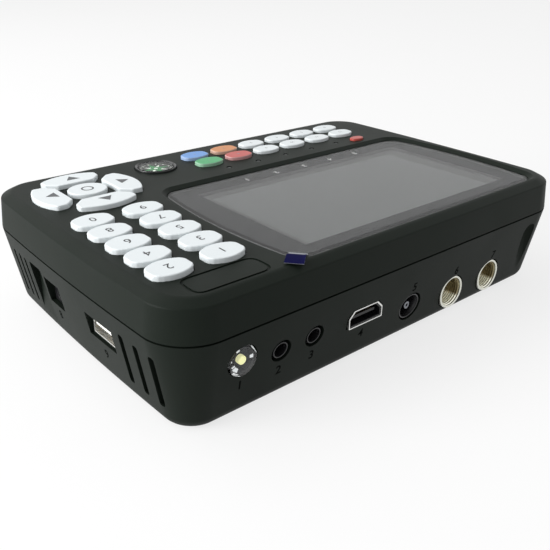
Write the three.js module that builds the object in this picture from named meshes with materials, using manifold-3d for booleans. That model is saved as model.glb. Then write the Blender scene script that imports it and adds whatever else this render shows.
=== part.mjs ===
// Satellite signal meter: a handheld case with a screen, keypad, compass, lamp and edge sockets.
// Millimetres. The meter lies on its back: +Z out of the screen, +X to the keypad side,
// +Y to the edge that carries the sockets. The origin is under the middle of the case, on the table.

import * as THREE from 'three';
import { mergeVertices } from 'three/addons/utils/BufferGeometryUtils.js';
import Module from 'manifold-3d';

const wasm = await Module();
wasm.setup();

// Case, outside
const CASE_LENGTH = 182;
const CASE_WIDTH = 122.6;
const CASE_HEIGHT = 42.6;
const PART_HEIGHT = 30.5;
const CORNER_RADIUS = 14.6;
const END_BOW = 1.6;
const CREST_DROP = 1.7;
const CREST_INSET = 1.05;
const BEVEL_WIDTH = 3.5;
const BASE_INSET = 5.25;
const BASE_ROUND = 4;
const PART_GAP = 0.6;

// Case, inside
const WALL = 2.4;
const FLOOR = 2.2;
const PANEL = 2.2;
const LIP_WALL = 1.2;
const LIP_DEPTH = 2.2;
const LIP_RISE = 2.4;
const CLEARANCE = 0.3;
const OVERRUN = 3;

// Steps of the curves
const CORNER_STEPS = 6;
const SIDE_STEPS = 6;
const ROUND_STEPS = 4;
const CIRCLE_STEPS = 24;
const SMALL_STEPS = 12;

// Screen
const GLASS_LEFT_MARGIN = 8.8;
const GLASS_TOP_MARGIN = 7.4;
const GLASS_BOTTOM_MARGIN = 43.3;
const GLASS_KEY_GAP = 6.8;
const GLASS_BOW = 3.1;
const GLASS_RADIUS = 5;
const GLASS_THICKNESS = 1.1;
const GLASS_DEPTH = 1.1;
const BEZEL_WIDTH = 2.2;
const LEDGE = 1;
const FRAME_MARGIN = 1.5;
const DISPLAY_SIDE_BORDER = 9.1;
const DISPLAY_END_BORDER = 4.95;
const DISPLAY_SHIFT_X = -2.6;
const DISPLAY_SHIFT_Y = -1.9;
const DISPLAY_THICKNESS = 3.6;
const DISPLAY_BACK = 0.3;
const FILM_INSET = 1.6;
const FILM_THICKNESS = 0.2;
const FILM_GAP = 0.1;
const TAB_LENGTH = 9.9;
const TAB_WIDTH = 6.4;
const TAB_THICKNESS = 0.3;
const TAB_OVERLAP = 2.5;
const TAB_KNEE = 2.6;
const TAB_KNEE_RISE = 1.35;
const TAB_CREST = 5.4;
const TAB_CREST_RISE = 1.6;
const TAB_END_RISE = 1.4;
const TAB_TURN = THREE.MathUtils.degToRad(41);

// Keypad stack, from the panel down to the switches
const FLANGE_THICKNESS = 0.8;
const FLANGE_REACH = 0.75;
const TAB_REACH = 1;
const KEY_END_SHARE = 0.48;
const KEY_CORNER_LENGTH_SHARE = 0.2;
const KEY_CORNER_WIDTH_SHARE = 0.45;
const KEY_TRAVEL = 0.8;
const KEY_EDGE = 0.5;
const STEM_RADIUS = 1.6;
const STEM_CLEARANCE = 0.4;
const SHEET_THICKNESS = 0.8;
const DOME_RADIUS = 2.3;
const DOME_HEIGHT = 0.5;
const BOARD_THICKNESS = 1.6;
const SHEET_MARGIN = 3;
const KEY_BOARD_MARGIN = 8;
const KEY_BOARD_RADIUS = 6;

// Digit keys: two columns and five rows, placed from the case's edges and the arrow keys
const DIGIT_ROWS = 5;
const DIGIT_COLUMNS = 2;
const DIGIT_SIDE_MARGIN = 14.5;
const DIGIT_TOP_MARGIN = 21.9;
const DIGIT_ARROW_GAP = 28.1;
const DIGIT_COLUMN_GAP = 5.2;
const DIGIT_ROW_GAP = 1.25;
const DIGIT_LENGTH = 12.6;
const DIGIT_HEIGHT = 1.6;

// Function keys: six columns and two rows, with the power key in the last column
const FUNCTION_ROWS = 2;
const FUNCTION_COLUMNS = 6;
const FUNCTION_SIDE_MARGIN = 27.7;
const FUNCTION_BOTTOM_MARGIN = 15.7;
const FUNCTION_COMPASS_GAP = 19.9;
const FUNCTION_COLUMN_GAP = 3.9;
const FUNCTION_ROW_PITCH = 10.2;
const FUNCTION_WIDTH = 7.6;
const FUNCTION_HEIGHT = 1.3;
const POWER_BOTTOM_MARGIN = 36.5;
const POWER_LENGTH = 6.6;
const POWER_WIDTH = 4.4;
const POWER_HEIGHT = 1;

// Arrow keys round the OK key
const ARROW_SIDE_MARGIN = 26.8;
const ARROW_BOTTOM_MARGIN = 28.8;
const ARROW_RADIUS = 19.7;
const ARROW_INNER = 8.7;
const ARROW_CORNER_RADIUS = 16.4;
const ARROW_HALF_GAP = 1.1;
const ARROW_ARC = THREE.MathUtils.degToRad(34);
const ARROW_STEM_RADIUS = 13.6;
const OK_LENGTH = 13.6;
const OK_WIDTH = 11.8;
const ARROW_HEIGHT = 1.6;

// Indicator lights between the function keys and the glass
const LIGHT_COUNT = 5;
const LIGHT_OFFSET = 3.2;
const LIGHT_BOTTOM_MARGIN = 35;
const LIGHT_RADIUS = 1;
const LIGHT_RECESS = 0.2;
const LIGHT_BAR_WIDTH = 3;
const LIGHT_BAR_THICKNESS = 1;

// Compass
const COMPASS_ARROW_GAP = 34.1;
const COMPASS_BOTTOM_MARGIN = 18.2;
const COMPASS_RADIUS = 8;
const COMPASS_WALL = 1;
const COMPASS_FLOOR = 1;
const COMPASS_RIM = 0.8;
const CARD_RADIUS = 6.4;
const CARD_THICKNESS = 0.7;
const CARD_DROP = 0.7;
const CARD_HUB_RADIUS = 1.6;
const CARD_HUB_DEPTH = 1.6;
const CARD_SOCKET_RADIUS = 0.9;
const CARD_SOCKET_DEPTH = 1.5;
const PIVOT_RADIUS = 0.5;
const LID_THICKNESS = 0.5;
const LID_DROP = 0.2;

// Groove that outlines the name plate beside the digit keys
const PLATE_SIDE_MARGIN = 25.4;
const PLATE_TOP_MARGIN = 10.7;
const PLATE_LENGTH = 26;
const PLATE_WIDTH = 10.4;
const PLATE_RADIUS = 4;
const PLATE_GROOVE = 0.9;
const PLATE_GROOVE_DEPTH = 0.35;

// Lower board and what it carries
const MAIN_BOARD_Z = 12.6;
const MAIN_BOARD_SIDE_MARGIN = 21.5;
const MAIN_BOARD_EAR_MARGIN = 7.4;
const MAIN_BOARD_EAR_REACH = 8;
const MAIN_BOARD_BATTERY_GAP = 3.5;
const STAND_RADIUS = 2.5;
const STAND_INSET = 3.5;
const STAND_SPACING = 18;
const BATTERY_SIDE_MARGIN = 66;
const BATTERY_BOTTOM_MARGIN = 28.8;
const BATTERY_LENGTH = 72;
const BATTERY_WIDTH = 38;
const BATTERY_HEIGHT = 19;
const BATTERY_ROUND = 3;
const TUNER_LENGTH = 46;
const TUNER_WIDTH = 30;
const TUNER_HEIGHT = 8.8;
const RIBBON_X = -8;
const RIBBON_Y = 8;
const RIBBON_WIDTH = 16;
const RIBBON_REACH = 7;
const RIBBON_THICKNESS = 0.5;
const SPEAKER_DATA_GAP = 16.5;
const SPEAKER_Z = 15.6;
const SPEAKER_RADIUS = 8;
const SPEAKER_MARGIN = 11.7;
const SPEAKER_DEPTH = 4;

// Screws at the corners
const SCREW_SIDE_MARGIN = 16.5;
const SCREW_END_MARGIN = 14.8;
const SCREW_RADIUS = 1.3;
const SCREW_HEAD_RADIUS = 2.6;
const SCREW_HEAD_HEIGHT = 1.8;
const SCREW_SINK = 2.6;
const SCREW_TIP_MARGIN = 1.4;
const POST_RADIUS = 4.2;
const BLOCK_LENGTH = 13;
const BLOCK_WIDTH = 12;
const BLOCK_DEPTH = 3.5;

// Sockets and lamp on the +Y edge: places along it as shares of the case's length
const SIGNAL_SHARES = [-0.158, -0.28];
const POWER_OUT_SHARE = -0.03;
const VIDEO_SHARE = 0.0995;
const AUDIO_SHARES = [0.2192, 0.2907];
const LAMP_SHARE = 0.3692;
const EDGE_GROOVE_SHARE = -0.398;
const SIGNAL_Z = 10;
const SIGNAL_RADIUS = 6.2;
const SIGNAL_BORE_RADIUS = 5.1;
const SIGNAL_LENGTH = 8.1;
const SIGNAL_END = 1.1;
const SIGNAL_CONTACT_RADIUS = 1;
const POWER_OUT_Z = 11.9;
const POWER_OUT_RADIUS = 5.1;
const POWER_OUT_BORE_RADIUS = 3.2;
const POWER_OUT_BODY = 10.4;
const POWER_OUT_DEPTH = 12;
const POWER_OUT_NOSE = 3.4;
const PIN_RADIUS = 1;
const JACK_BORE_DEPTH = 9;
const VIDEO_Z = 17.6;
const VIDEO_LENGTH = 15.1;
const VIDEO_HEIGHT = 6;
const VIDEO_CHAMFER = 2.2;
const VIDEO_DEPTH = 11;
const SHELL_WALL = 0.5;
const VIDEO_TONGUE_LENGTH = 10.6;
const VIDEO_TONGUE_HEIGHT = 1;
const TONGUE_SETBACK = 1.4;
const AUDIO_Z = 17.8;
const AUDIO_RADIUS = 3.4;
const AUDIO_BORE_RADIUS = 1.8;
const AUDIO_BODY = 8;
const AUDIO_BODY_HEIGHT = 6.4;
const AUDIO_DEPTH = 15;
const AUDIO_NOSE = 4;
const LAMP_Z = 20.5;
const LAMP_RADIUS = 4.8;
const LAMP_LENGTH = 4.2;
const LAMP_DOME = 0.9;
const LAMP_CUP_LENGTH = 4;
const LAMP_CUP_WALL = 0.8;
const LAMP_FOOT_RADIUS = 3;

// Sockets, vents and grooves on the sides: places along them as shares of the case's width
const POWER_IN_SHARE = -0.0995;
const DATA_SHARE = 0.155;
const NEAR_VENT_SHARE = 0.328;
const FAR_VENT_SHARE = -0.31;
const NOTCH_SHARE = -0.1958;
const POWER_IN_Z = 18.8;
const POWER_IN_LENGTH = 10.4;
const POWER_IN_HEIGHT = 8.6;
const POWER_IN_DEPTH = 11;
const POWER_IN_SINK = 2.4;
const DATA_Z = 18.7;
const DATA_LENGTH = 13.2;
const DATA_HEIGHT = 5.8;
const DATA_DEPTH = 12;
const DATA_RECESS_LENGTH = 16;
const DATA_RECESS_HEIGHT = 7.8;
const DATA_RECESS_DEPTH = 1.6;
const DATA_TONGUE_LENGTH = 11;
const DATA_TONGUE_HEIGHT = 1.9;
const VENT_COUNT = 3;
const NEAR_VENT_WIDTH = 2.5;
const FAR_VENT_WIDTH = 1.7;
const VENT_END_SHARE = 0.45;
const VENT_HEIGHT = 17;
const VENT_Z = 15.9;
const NEAR_VENT_PITCH = 7.6;
const FAR_VENT_PITCH = 4.8;
const GROOVE_RADIUS = 3.8;
const GROOVE_DEPTH = 3.4;
const GROOVE_TOP = 26.2;
const GROOVE_WALL = 1.8;
const NOTCH_LENGTH = 9.4;
const NOTCH_TOP = 25;
const NOTCH_DEPTH = 3.2;
const NOTCH_RADIUS = 1.2;

// Places and heights that follow from the values above
const HALF_LENGTH = CASE_LENGTH / 2;
const HALF_WIDTH = CASE_WIDTH / 2;
const DIGIT_X = HALF_LENGTH - DIGIT_SIDE_MARGIN - (DIGIT_COLUMNS - 1) * (DIGIT_LENGTH + DIGIT_COLUMN_GAP);
const DIGIT_Y = HALF_WIDTH - DIGIT_TOP_MARGIN;
const ARROW_X = HALF_LENGTH - ARROW_SIDE_MARGIN;
const ARROW_Y = ARROW_BOTTOM_MARGIN - HALF_WIDTH;
const DIGIT_ROW_PITCH = (DIGIT_Y - ARROW_Y - DIGIT_ARROW_GAP) / (DIGIT_ROWS - 1);
const DIGIT_WIDTH = DIGIT_ROW_PITCH - DIGIT_ROW_GAP;
const COMPASS_X = ARROW_X - COMPASS_ARROW_GAP;
const COMPASS_Y = COMPASS_BOTTOM_MARGIN - HALF_WIDTH;
const FUNCTION_X = COMPASS_X - FUNCTION_COMPASS_GAP;
const FUNCTION_Y = FUNCTION_BOTTOM_MARGIN - HALF_WIDTH;
const POWER_X = FUNCTION_SIDE_MARGIN - HALF_LENGTH;
const POWER_Y = POWER_BOTTOM_MARGIN - HALF_WIDTH;
const FUNCTION_COLUMN_PITCH = (FUNCTION_X - POWER_X) / (FUNCTION_COLUMNS - 1);
const FUNCTION_LENGTH = FUNCTION_COLUMN_PITCH - FUNCTION_COLUMN_GAP;
const LIGHT_Y = LIGHT_BOTTOM_MARGIN - HALF_WIDTH;
const GLASS_LEFT = GLASS_LEFT_MARGIN - HALF_LENGTH;
const GLASS_RIGHT = DIGIT_X - DIGIT_LENGTH / 2 - GLASS_KEY_GAP;
const GLASS_LENGTH = GLASS_RIGHT - GLASS_LEFT;
const GLASS_WIDTH = CASE_WIDTH - GLASS_TOP_MARGIN - GLASS_BOTTOM_MARGIN;
const GLASS_X = (GLASS_LEFT + GLASS_RIGHT) / 2;
const GLASS_Y = (GLASS_BOTTOM_MARGIN - GLASS_TOP_MARGIN) / 2;
const DISPLAY_X = GLASS_X + DISPLAY_SHIFT_X;
const DISPLAY_Y = GLASS_Y + DISPLAY_SHIFT_Y;
const DISPLAY_LENGTH = GLASS_LENGTH - 2 * DISPLAY_SIDE_BORDER;
const DISPLAY_WIDTH = GLASS_WIDTH - 2 * DISPLAY_END_BORDER;
const PLATE_X = HALF_LENGTH - PLATE_SIDE_MARGIN;
const PLATE_Y = HALF_WIDTH - PLATE_TOP_MARGIN;
const BATTERY_X = BATTERY_SIDE_MARGIN - HALF_LENGTH;
const BATTERY_Y = BATTERY_BOTTOM_MARGIN - HALF_WIDTH;
const SCREW_X = HALF_LENGTH - SCREW_SIDE_MARGIN;
const SCREW_Y = HALF_WIDTH - SCREW_END_MARGIN;
const SIGNAL_X = SIGNAL_SHARES.map((share) => share * CASE_LENGTH);
const POWER_OUT_X = POWER_OUT_SHARE * CASE_LENGTH;
const VIDEO_X = VIDEO_SHARE * CASE_LENGTH;
const AUDIO_X = AUDIO_SHARES.map((share) => share * CASE_LENGTH);
const LAMP_X = LAMP_SHARE * CASE_LENGTH;
const EDGE_GROOVE_X = EDGE_GROOVE_SHARE * CASE_LENGTH;
const POWER_IN_Y = POWER_IN_SHARE * CASE_WIDTH;
const DATA_Y = DATA_SHARE * CASE_WIDTH;
const NEAR_VENT_Y = NEAR_VENT_SHARE * CASE_WIDTH;
const FAR_VENT_Y = FAR_VENT_SHARE * CASE_WIDTH;
const NOTCH_Y = NOTCH_SHARE * CASE_WIDTH;
const TUNER_X = (SIGNAL_X[0] + SIGNAL_X[1]) / 2;
const SPEAKER_X = HALF_LENGTH - SPEAKER_MARGIN;
const SPEAKER_Y = DATA_Y + SPEAKER_DATA_GAP;
const MAIN_BOARD_HALF = HALF_LENGTH - MAIN_BOARD_SIDE_MARGIN;
const MAIN_BOARD_BACK = BATTERY_Y + BATTERY_WIDTH / 2 + MAIN_BOARD_BATTERY_GAP;
const MAIN_BOARD_EAR_X = HALF_LENGTH - MAIN_BOARD_EAR_MARGIN;
const MAIN_BOARD_EAR_BACK = POWER_IN_Y - POWER_IN_LENGTH / 2 - MAIN_BOARD_EAR_REACH;
const MAIN_BOARD_EAR_FRONT = DATA_Y + MAIN_BOARD_EAR_REACH;
const CREST_HEIGHT = CASE_HEIGHT - CREST_DROP;
const PANEL_UNDER = CASE_HEIGHT - PANEL;
const FLANGE_TOP = PANEL_UNDER - CLEARANCE;
const FLANGE_UNDER = FLANGE_TOP - FLANGE_THICKNESS;
const SHEET_TOP = FLANGE_UNDER - KEY_TRAVEL - CLEARANCE;
const SHEET_UNDER = SHEET_TOP - SHEET_THICKNESS;
const GLASS_TOP = CASE_HEIGHT - GLASS_DEPTH;
const GLASS_UNDER = GLASS_TOP - GLASS_THICKNESS;
const LEDGE_TOP = GLASS_UNDER - CLEARANCE;
const LEDGE_UNDER = LEDGE_TOP - LEDGE;
const DISPLAY_TOP = LEDGE_UNDER + CLEARANCE;
const DISPLAY_UNDER = DISPLAY_TOP - DISPLAY_THICKNESS;
const KEY_BOARD_TOP = DISPLAY_UNDER - DISPLAY_BACK;
const KEY_BOARD_UNDER = KEY_BOARD_TOP - BOARD_THICKNESS;
const DOME_TOP = KEY_BOARD_TOP + DOME_HEIGHT;
const STEM_END = DOME_TOP + KEY_TRAVEL + CLEARANCE;
const BLOCK_TOP = KEY_BOARD_UNDER - CLEARANCE;
const BLOCK_UNDER = PART_HEIGHT - BLOCK_DEPTH;
const MAIN_BOARD_TOP = MAIN_BOARD_Z + BOARD_THICKNESS;

// Materials
function plastic(color, roughness) {
  return new THREE.MeshStandardMaterial({ color, roughness, metalness: 0 });
}

function metal(color, roughness) {
  return new THREE.MeshStandardMaterial({ color, roughness, metalness: 1 });
}

const blackPlastic = plastic(0x2c2f2d, 0.6);
const keyWhite = plastic(0xe6eaee, 0.45);
const keyBlue = plastic(0x6f9be0, 0.45);
const keyOrange = plastic(0xe08a55, 0.45);
const keyGreen = plastic(0x4cb473, 0.45);
const keyRed = plastic(0xd85a5a, 0.45);
const glassGrey = plastic(0x4a4c4c, 0.1);
const clearPlastic = plastic(0xd8dcdc, 0.1);
const filmClear = plastic(0x20306a, 0.2);
const boardGreen = plastic(0x1f5a36, 0.5);
const rubberGrey = plastic(0xb9bcc0, 0.8);
const displayGrey = plastic(0x8a8d8c, 0.3);
const jackBlack = plastic(0x111213, 0.4);
const cellBlue = plastic(0x2c4f8a, 0.5);
const cardGreen = plastic(0x2f6b3c, 0.5);
const lampWhite = plastic(0xf2edc0, 0.3);
const cableGrey = plastic(0xd0d0cc, 0.6);
const nickel = metal(0xd9d4c4, 0.25);
const steel = metal(0xb8bab8, 0.35);
const tin = metal(0xc9cccb, 0.3);

// Turns a three.js geometry into a solid that can be joined and cut
function solid(geometry) {
  geometry.deleteAttribute('normal');
  geometry.deleteAttribute('uv');
  const merged = mergeVertices(geometry);
  return new wasm.Manifold(new wasm.Mesh({
    numProp: 3,
    vertProperties: new Float32Array(merged.attributes.position.array),
    triVerts: new Uint32Array(merged.index.array),
  }));
}

// Skins a stack of closed rings, each with as many points, and closes both ends
function loft(rings) {
  const count = rings[0].length;
  const points = rings.flat();
  const indices = [];
  for (let level = 0; level + 1 < rings.length; level++) {
    for (let i = 0; i < count; i++) {
      const next = (i + 1) % count;
      const a = level * count + i;
      const b = level * count + next;
      indices.push(a, b, b + count, a, b + count, a + count);
    }
  }
  const ends = [[0, true], [rings.length - 1, false]];
  for (const [level, flip] of ends) {
    const centre = new THREE.Vector3();
    rings[level].forEach((point) => centre.addScaledVector(point, 1 / count));
    const middle = points.push(centre) - 1;
    for (let i = 0; i < count; i++) {
      const a = level * count + i;
      const b = level * count + (i + 1) % count;
      indices.push(middle, flip ? b : a, flip ? a : b);
    }
  }
  const geometry = new THREE.BufferGeometry().setFromPoints(points);
  geometry.setIndex(indices);
  return solid(geometry);
}

// A flat shape raised from one height to another
function prism(shape, low, high, steps = SMALL_STEPS) {
  const options = { depth: high - low, bevelEnabled: false, curveSegments: steps };
  const geometry = new THREE.ExtrudeGeometry(shape, options);
  return solid(geometry.translate(0, 0, low));
}

// A shape drawn in X and Z, cut or raised along Y from one place to another
function prismAlongY(shape, low, high, steps = SMALL_STEPS) {
  const options = { depth: high - low, bevelEnabled: false, curveSegments: steps };
  const geometry = new THREE.ExtrudeGeometry(shape, options);
  return solid(geometry.rotateX(Math.PI / 2).translate(0, high, 0));
}

// A shape drawn in Y and Z, cut or raised along X from one place to another
function prismAlongX(shape, low, high, steps = SMALL_STEPS) {
  const options = { depth: high - low, bevelEnabled: false, curveSegments: steps };
  const geometry = new THREE.ExtrudeGeometry(shape, options);
  const axes = new THREE.Matrix4().makeBasis(
    new THREE.Vector3(0, 1, 0),
    new THREE.Vector3(0, 0, 1),
    new THREE.Vector3(1, 0, 0),
  );
  return solid(geometry.applyMatrix4(axes).translate(low, 0, 0));
}

// A profile of radius and height turned about an upright axis
function turned(profile, x, y, steps = CIRCLE_STEPS) {
  const geometry = new THREE.LatheGeometry(profile.map(([r, z]) => new THREE.Vector2(r, z)), steps);
  return solid(geometry.rotateX(Math.PI / 2).translate(x, y, 0));
}

// A profile of radius and depth turned about an axis along Y, its depth growing inwards from +Y
function turnedAlongY(profile, x, z, front, steps = CIRCLE_STEPS) {
  const points = profile.map(([r, depth]) => new THREE.Vector2(r, -depth));
  const geometry = new THREE.LatheGeometry(points, steps);
  return solid(geometry.translate(x, front, z));
}

function rectangle(x, y, length, width) {
  const shape = new THREE.Shape();
  shape.moveTo(x - length / 2, y - width / 2);
  shape.lineTo(x + length / 2, y - width / 2);
  shape.lineTo(x + length / 2, y + width / 2);
  shape.lineTo(x - length / 2, y + width / 2);
  shape.closePath();
  return shape;
}

function roundedRectangle(x, y, length, width, radius) {
  const shape = new THREE.Shape();
  const right = x + length / 2 - radius;
  const left = x - length / 2 + radius;
  const top = y + width / 2 - radius;
  const bottom = y - width / 2 + radius;
  shape.absarc(right, top, radius, 0, Math.PI / 2);
  shape.absarc(left, top, radius, Math.PI / 2, Math.PI);
  shape.absarc(left, bottom, radius, Math.PI, Math.PI * 1.5);
  shape.absarc(right, bottom, radius, Math.PI * 1.5, Math.PI * 2);
  shape.closePath();
  return shape;
}

function disc(x, y, radius) {
  const shape = new THREE.Shape();
  shape.absarc(x, y, radius, 0, Math.PI * 2);
  return shape;
}

const group = new THREE.Group();

function addPart(name, body, material) {
  const mesh = body.getMesh();
  const geometry = new THREE.BufferGeometry();
  geometry.setAttribute('position', new THREE.BufferAttribute(mesh.vertProperties, 3));
  geometry.setIndex(new THREE.BufferAttribute(mesh.triVerts, 1));
  geometry.computeVertexNormals();
  const part = new THREE.Mesh(geometry, material);
  part.name = name;
  group.add(part);
}

// A level ring with rounded corners, with points along its short sides for a bow
function roundedRing(halfX, halfY, radius, z) {
  const ring = [];
  const corners = [[1, 1], [-1, 1], [-1, -1], [1, -1]];
  corners.forEach(([sideX, sideY], quarter) => {
    for (let step = 0; step <= CORNER_STEPS; step++) {
      const angle = (quarter + step / CORNER_STEPS) * Math.PI / 2;
      const x = sideX * (halfX - radius) + radius * Math.cos(angle);
      const y = sideY * (halfY - radius) + radius * Math.sin(angle);
      ring.push(new THREE.Vector3(x, y, z));
    }
    if (sideX === sideY) return;
    for (let step = 1; step < SIDE_STEPS; step++) {
      const y = sideY * (halfY - radius) * (1 - 2 * step / SIDE_STEPS);
      ring.push(new THREE.Vector3(-sideY * halfX, y, z));
    }
  });
  return ring;
}

// Draws the short ends of a ring in towards their corners, which leaves them bowed
function bowEnds(ring, bow, halfLength, halfWidth) {
  ring.forEach((point) => {
    point.x *= 1 - (bow / halfLength) * (point.y / halfWidth) ** 2;
  });
  return ring;
}

// Outline of the case at one height, drawn in by an inset
function caseRing(z, inset) {
  const radius = Math.max(CORNER_RADIUS - inset, WALL);
  const ring = roundedRing(HALF_LENGTH - inset, HALF_WIDTH - inset, radius, z);
  return bowEnds(ring, END_BOW, HALF_LENGTH, HALF_WIDTH);
}

// Outline of the screen glass at one height, let out by a margin
function glassRing(z, grow) {
  const halfX = GLASS_LENGTH / 2;
  const halfY = GLASS_WIDTH / 2;
  const ring = roundedRing(halfX + grow, halfY + grow, GLASS_RADIUS + grow, z);
  bowEnds(ring, GLASS_BOW, halfX, halfY);
  return ring.map((point) => new THREE.Vector3(GLASS_X + point.x, GLASS_Y + point.y, z));
}

// Inset of the sloped lower wall at a height
function lowerInset(z) {
  return BASE_INSET * (PART_HEIGHT - z) / PART_HEIGHT;
}

// Inset of the upper wall at a height
function upperInset(z) {
  return CREST_INSET * (z - PART_HEIGHT) / (CREST_HEIGHT - PART_HEIGHT);
}

// Face of the +Y edge and of the +X side at a height
function edgeFace(z) {
  return HALF_WIDTH - lowerInset(z);
}

function sideFace(y, z) {
  return (HALF_LENGTH - lowerInset(z)) * (1 - (END_BOW / HALF_LENGTH) * (y / HALF_WIDTH) ** 2);
}

// Rear housing
const REAR_TOP = PART_HEIGHT - PART_GAP / 2;

function rearOuter() {
  const rings = [];
  for (let step = 0; step <= ROUND_STEPS; step++) {
    const angle = (step / ROUND_STEPS) * Math.PI / 2;
    const z = BASE_ROUND * (1 - Math.cos(angle));
    rings.push(caseRing(z, lowerInset(z) + BASE_ROUND * (1 - Math.sin(angle))));
  }
  rings.push(caseRing(REAR_TOP, lowerInset(REAR_TOP)));
  return loft(rings);
}

function rearCavity() {
  const low = FLOOR + BASE_ROUND / 2;
  return loft([
    caseRing(FLOOR, lowerInset(FLOOR) + WALL + BASE_ROUND / 2),
    caseRing(low, lowerInset(low) + WALL),
    caseRing(PART_HEIGHT, WALL),
    caseRing(PART_HEIGHT + OVERRUN, WALL),
  ]);
}

// An upright finger groove: a vertical cylinder with an arched top that the sloped wall runs out of
function grooveCut(x, y, radius, top) {
  const profile = [[0, -OVERRUN], [radius, -OVERRUN], [radius, top - radius]];
  for (let step = 1; step <= ROUND_STEPS; step++) {
    const angle = (step / ROUND_STEPS) * Math.PI / 2;
    const reach = step === ROUND_STEPS ? 0 : radius * Math.cos(angle);
    profile.push([reach, top - radius + radius * Math.sin(angle)]);
  }
  return turned(profile, x, y);
}

const EDGE_GROOVE_Y = edgeFace(GROOVE_TOP) - GROOVE_DEPTH + GROOVE_RADIUS;

// A flat-floored notch in the +X side, open at the foot, let out by a margin
function notchCut(grow) {
  const floor = sideFace(NOTCH_Y, NOTCH_TOP) - NOTCH_DEPTH - grow;
  const height = NOTCH_TOP + grow + OVERRUN;
  const middle = (NOTCH_TOP + grow - OVERRUN) / 2;
  const shape = roundedRectangle(NOTCH_Y, middle, NOTCH_LENGTH + 2 * grow, height, NOTCH_RADIUS + grow);
  return prismAlongX(shape, floor, HALF_LENGTH + OVERRUN, ROUND_STEPS);
}

function videoShape(x, z, length, height, chamfer) {
  const shape = new THREE.Shape();
  shape.moveTo(x - length / 2, z - height / 2);
  shape.lineTo(x + length / 2, z - height / 2);
  shape.lineTo(x + length / 2, z + height / 2 - chamfer);
  shape.lineTo(x + length / 2 - chamfer, z + height / 2);
  shape.lineTo(x - length / 2 + chamfer, z + height / 2);
  shape.lineTo(x - length / 2, z + height / 2 - chamfer);
  shape.closePath();
  return shape;
}

const screwPlaces = [[1, 1], [-1, 1], [-1, -1], [1, -1]].map(([x, y]) => [x * SCREW_X, y * SCREW_Y]);
const standPlaces = [1, -1].flatMap((side) => [1, 2].map((row) => [
  side * (MAIN_BOARD_HALF - STAND_INSET), MAIN_BOARD_BACK + STAND_INSET + (row - 1) * STAND_SPACING,
]));

function ventSlot(y, width) {
  return roundedRectangle(y, VENT_Z, width, VENT_HEIGHT, VENT_END_SHARE * width);
}

function rearHousing() {
  const cavity = rearCavity()
    .subtract(grooveCut(EDGE_GROOVE_X, EDGE_GROOVE_Y, GROOVE_RADIUS + GROOVE_WALL, GROOVE_TOP + GROOVE_WALL))
    .subtract(notchCut(GROOVE_WALL));
  let body = rearOuter().subtract(cavity)
    .subtract(grooveCut(EDGE_GROOVE_X, EDGE_GROOVE_Y, GROOVE_RADIUS, GROOVE_TOP))
    .subtract(notchCut(0));
  screwPlaces.forEach(([x, y]) => {
    body = body.add(prism(disc(x, y, POST_RADIUS), FLOOR / 2, BLOCK_UNDER - CLEARANCE));
  });
  standPlaces.forEach(([x, y]) => {
    body = body.add(prism(disc(x, y, STAND_RADIUS), FLOOR / 2, MAIN_BOARD_Z - CLEARANCE));
  });
  screwPlaces.forEach(([x, y]) => {
    body = body.subtract(prism(disc(x, y, SCREW_HEAD_RADIUS + CLEARANCE), -OVERRUN, SCREW_SINK));
    body = body.subtract(prism(disc(x, y, SCREW_RADIUS + CLEARANCE), -OVERRUN, BLOCK_UNDER));
  });
  const inside = HALF_WIDTH - BASE_INSET - WALL - OVERRUN;
  const outside = HALF_WIDTH + OVERRUN;
  const edgeHoles = [
    disc(LAMP_X, LAMP_Z, LAMP_RADIUS + CLEARANCE),
    videoShape(VIDEO_X, VIDEO_Z, VIDEO_LENGTH + 2 * CLEARANCE, VIDEO_HEIGHT + 2 * CLEARANCE, VIDEO_CHAMFER),
    disc(POWER_OUT_X, POWER_OUT_Z, POWER_OUT_RADIUS + CLEARANCE),
    ...AUDIO_X.map((x) => disc(x, AUDIO_Z, AUDIO_RADIUS + CLEARANCE)),
    ...SIGNAL_X.map((x) => disc(x, SIGNAL_Z, SIGNAL_RADIUS + CLEARANCE)),
  ];
  edgeHoles.forEach((hole) => {
    body = body.subtract(prismAlongY(hole, inside, outside, SMALL_STEPS));
  });
  const sideInside = HALF_LENGTH - BASE_INSET - END_BOW - WALL - OVERRUN;
  const sideOutside = HALF_LENGTH + OVERRUN;
  const sideHoles = [
    rectangle(POWER_IN_Y, POWER_IN_Z, POWER_IN_LENGTH + 2 * CLEARANCE, POWER_IN_HEIGHT + 2 * CLEARANCE),
    rectangle(DATA_Y, DATA_Z, DATA_LENGTH + 2 * CLEARANCE, DATA_HEIGHT + 2 * CLEARANCE),
  ];
  for (let slot = 0; slot < VENT_COUNT; slot++) {
    const place = slot - (VENT_COUNT - 1) / 2;
    sideHoles.push(ventSlot(NEAR_VENT_Y + place * NEAR_VENT_PITCH, NEAR_VENT_WIDTH));
    sideHoles.push(ventSlot(FAR_VENT_Y + place * FAR_VENT_PITCH, FAR_VENT_WIDTH));
  }
  sideHoles.forEach((hole) => {
    body = body.subtract(prismAlongX(hole, sideInside, sideOutside, ROUND_STEPS));
  });
  const recess = rectangle(DATA_Y, DATA_Z, DATA_RECESS_LENGTH, DATA_RECESS_HEIGHT);
  return body.subtract(prismAlongX(recess, sideFace(DATA_Y, DATA_Z) - DATA_RECESS_DEPTH, sideOutside));
}

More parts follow.
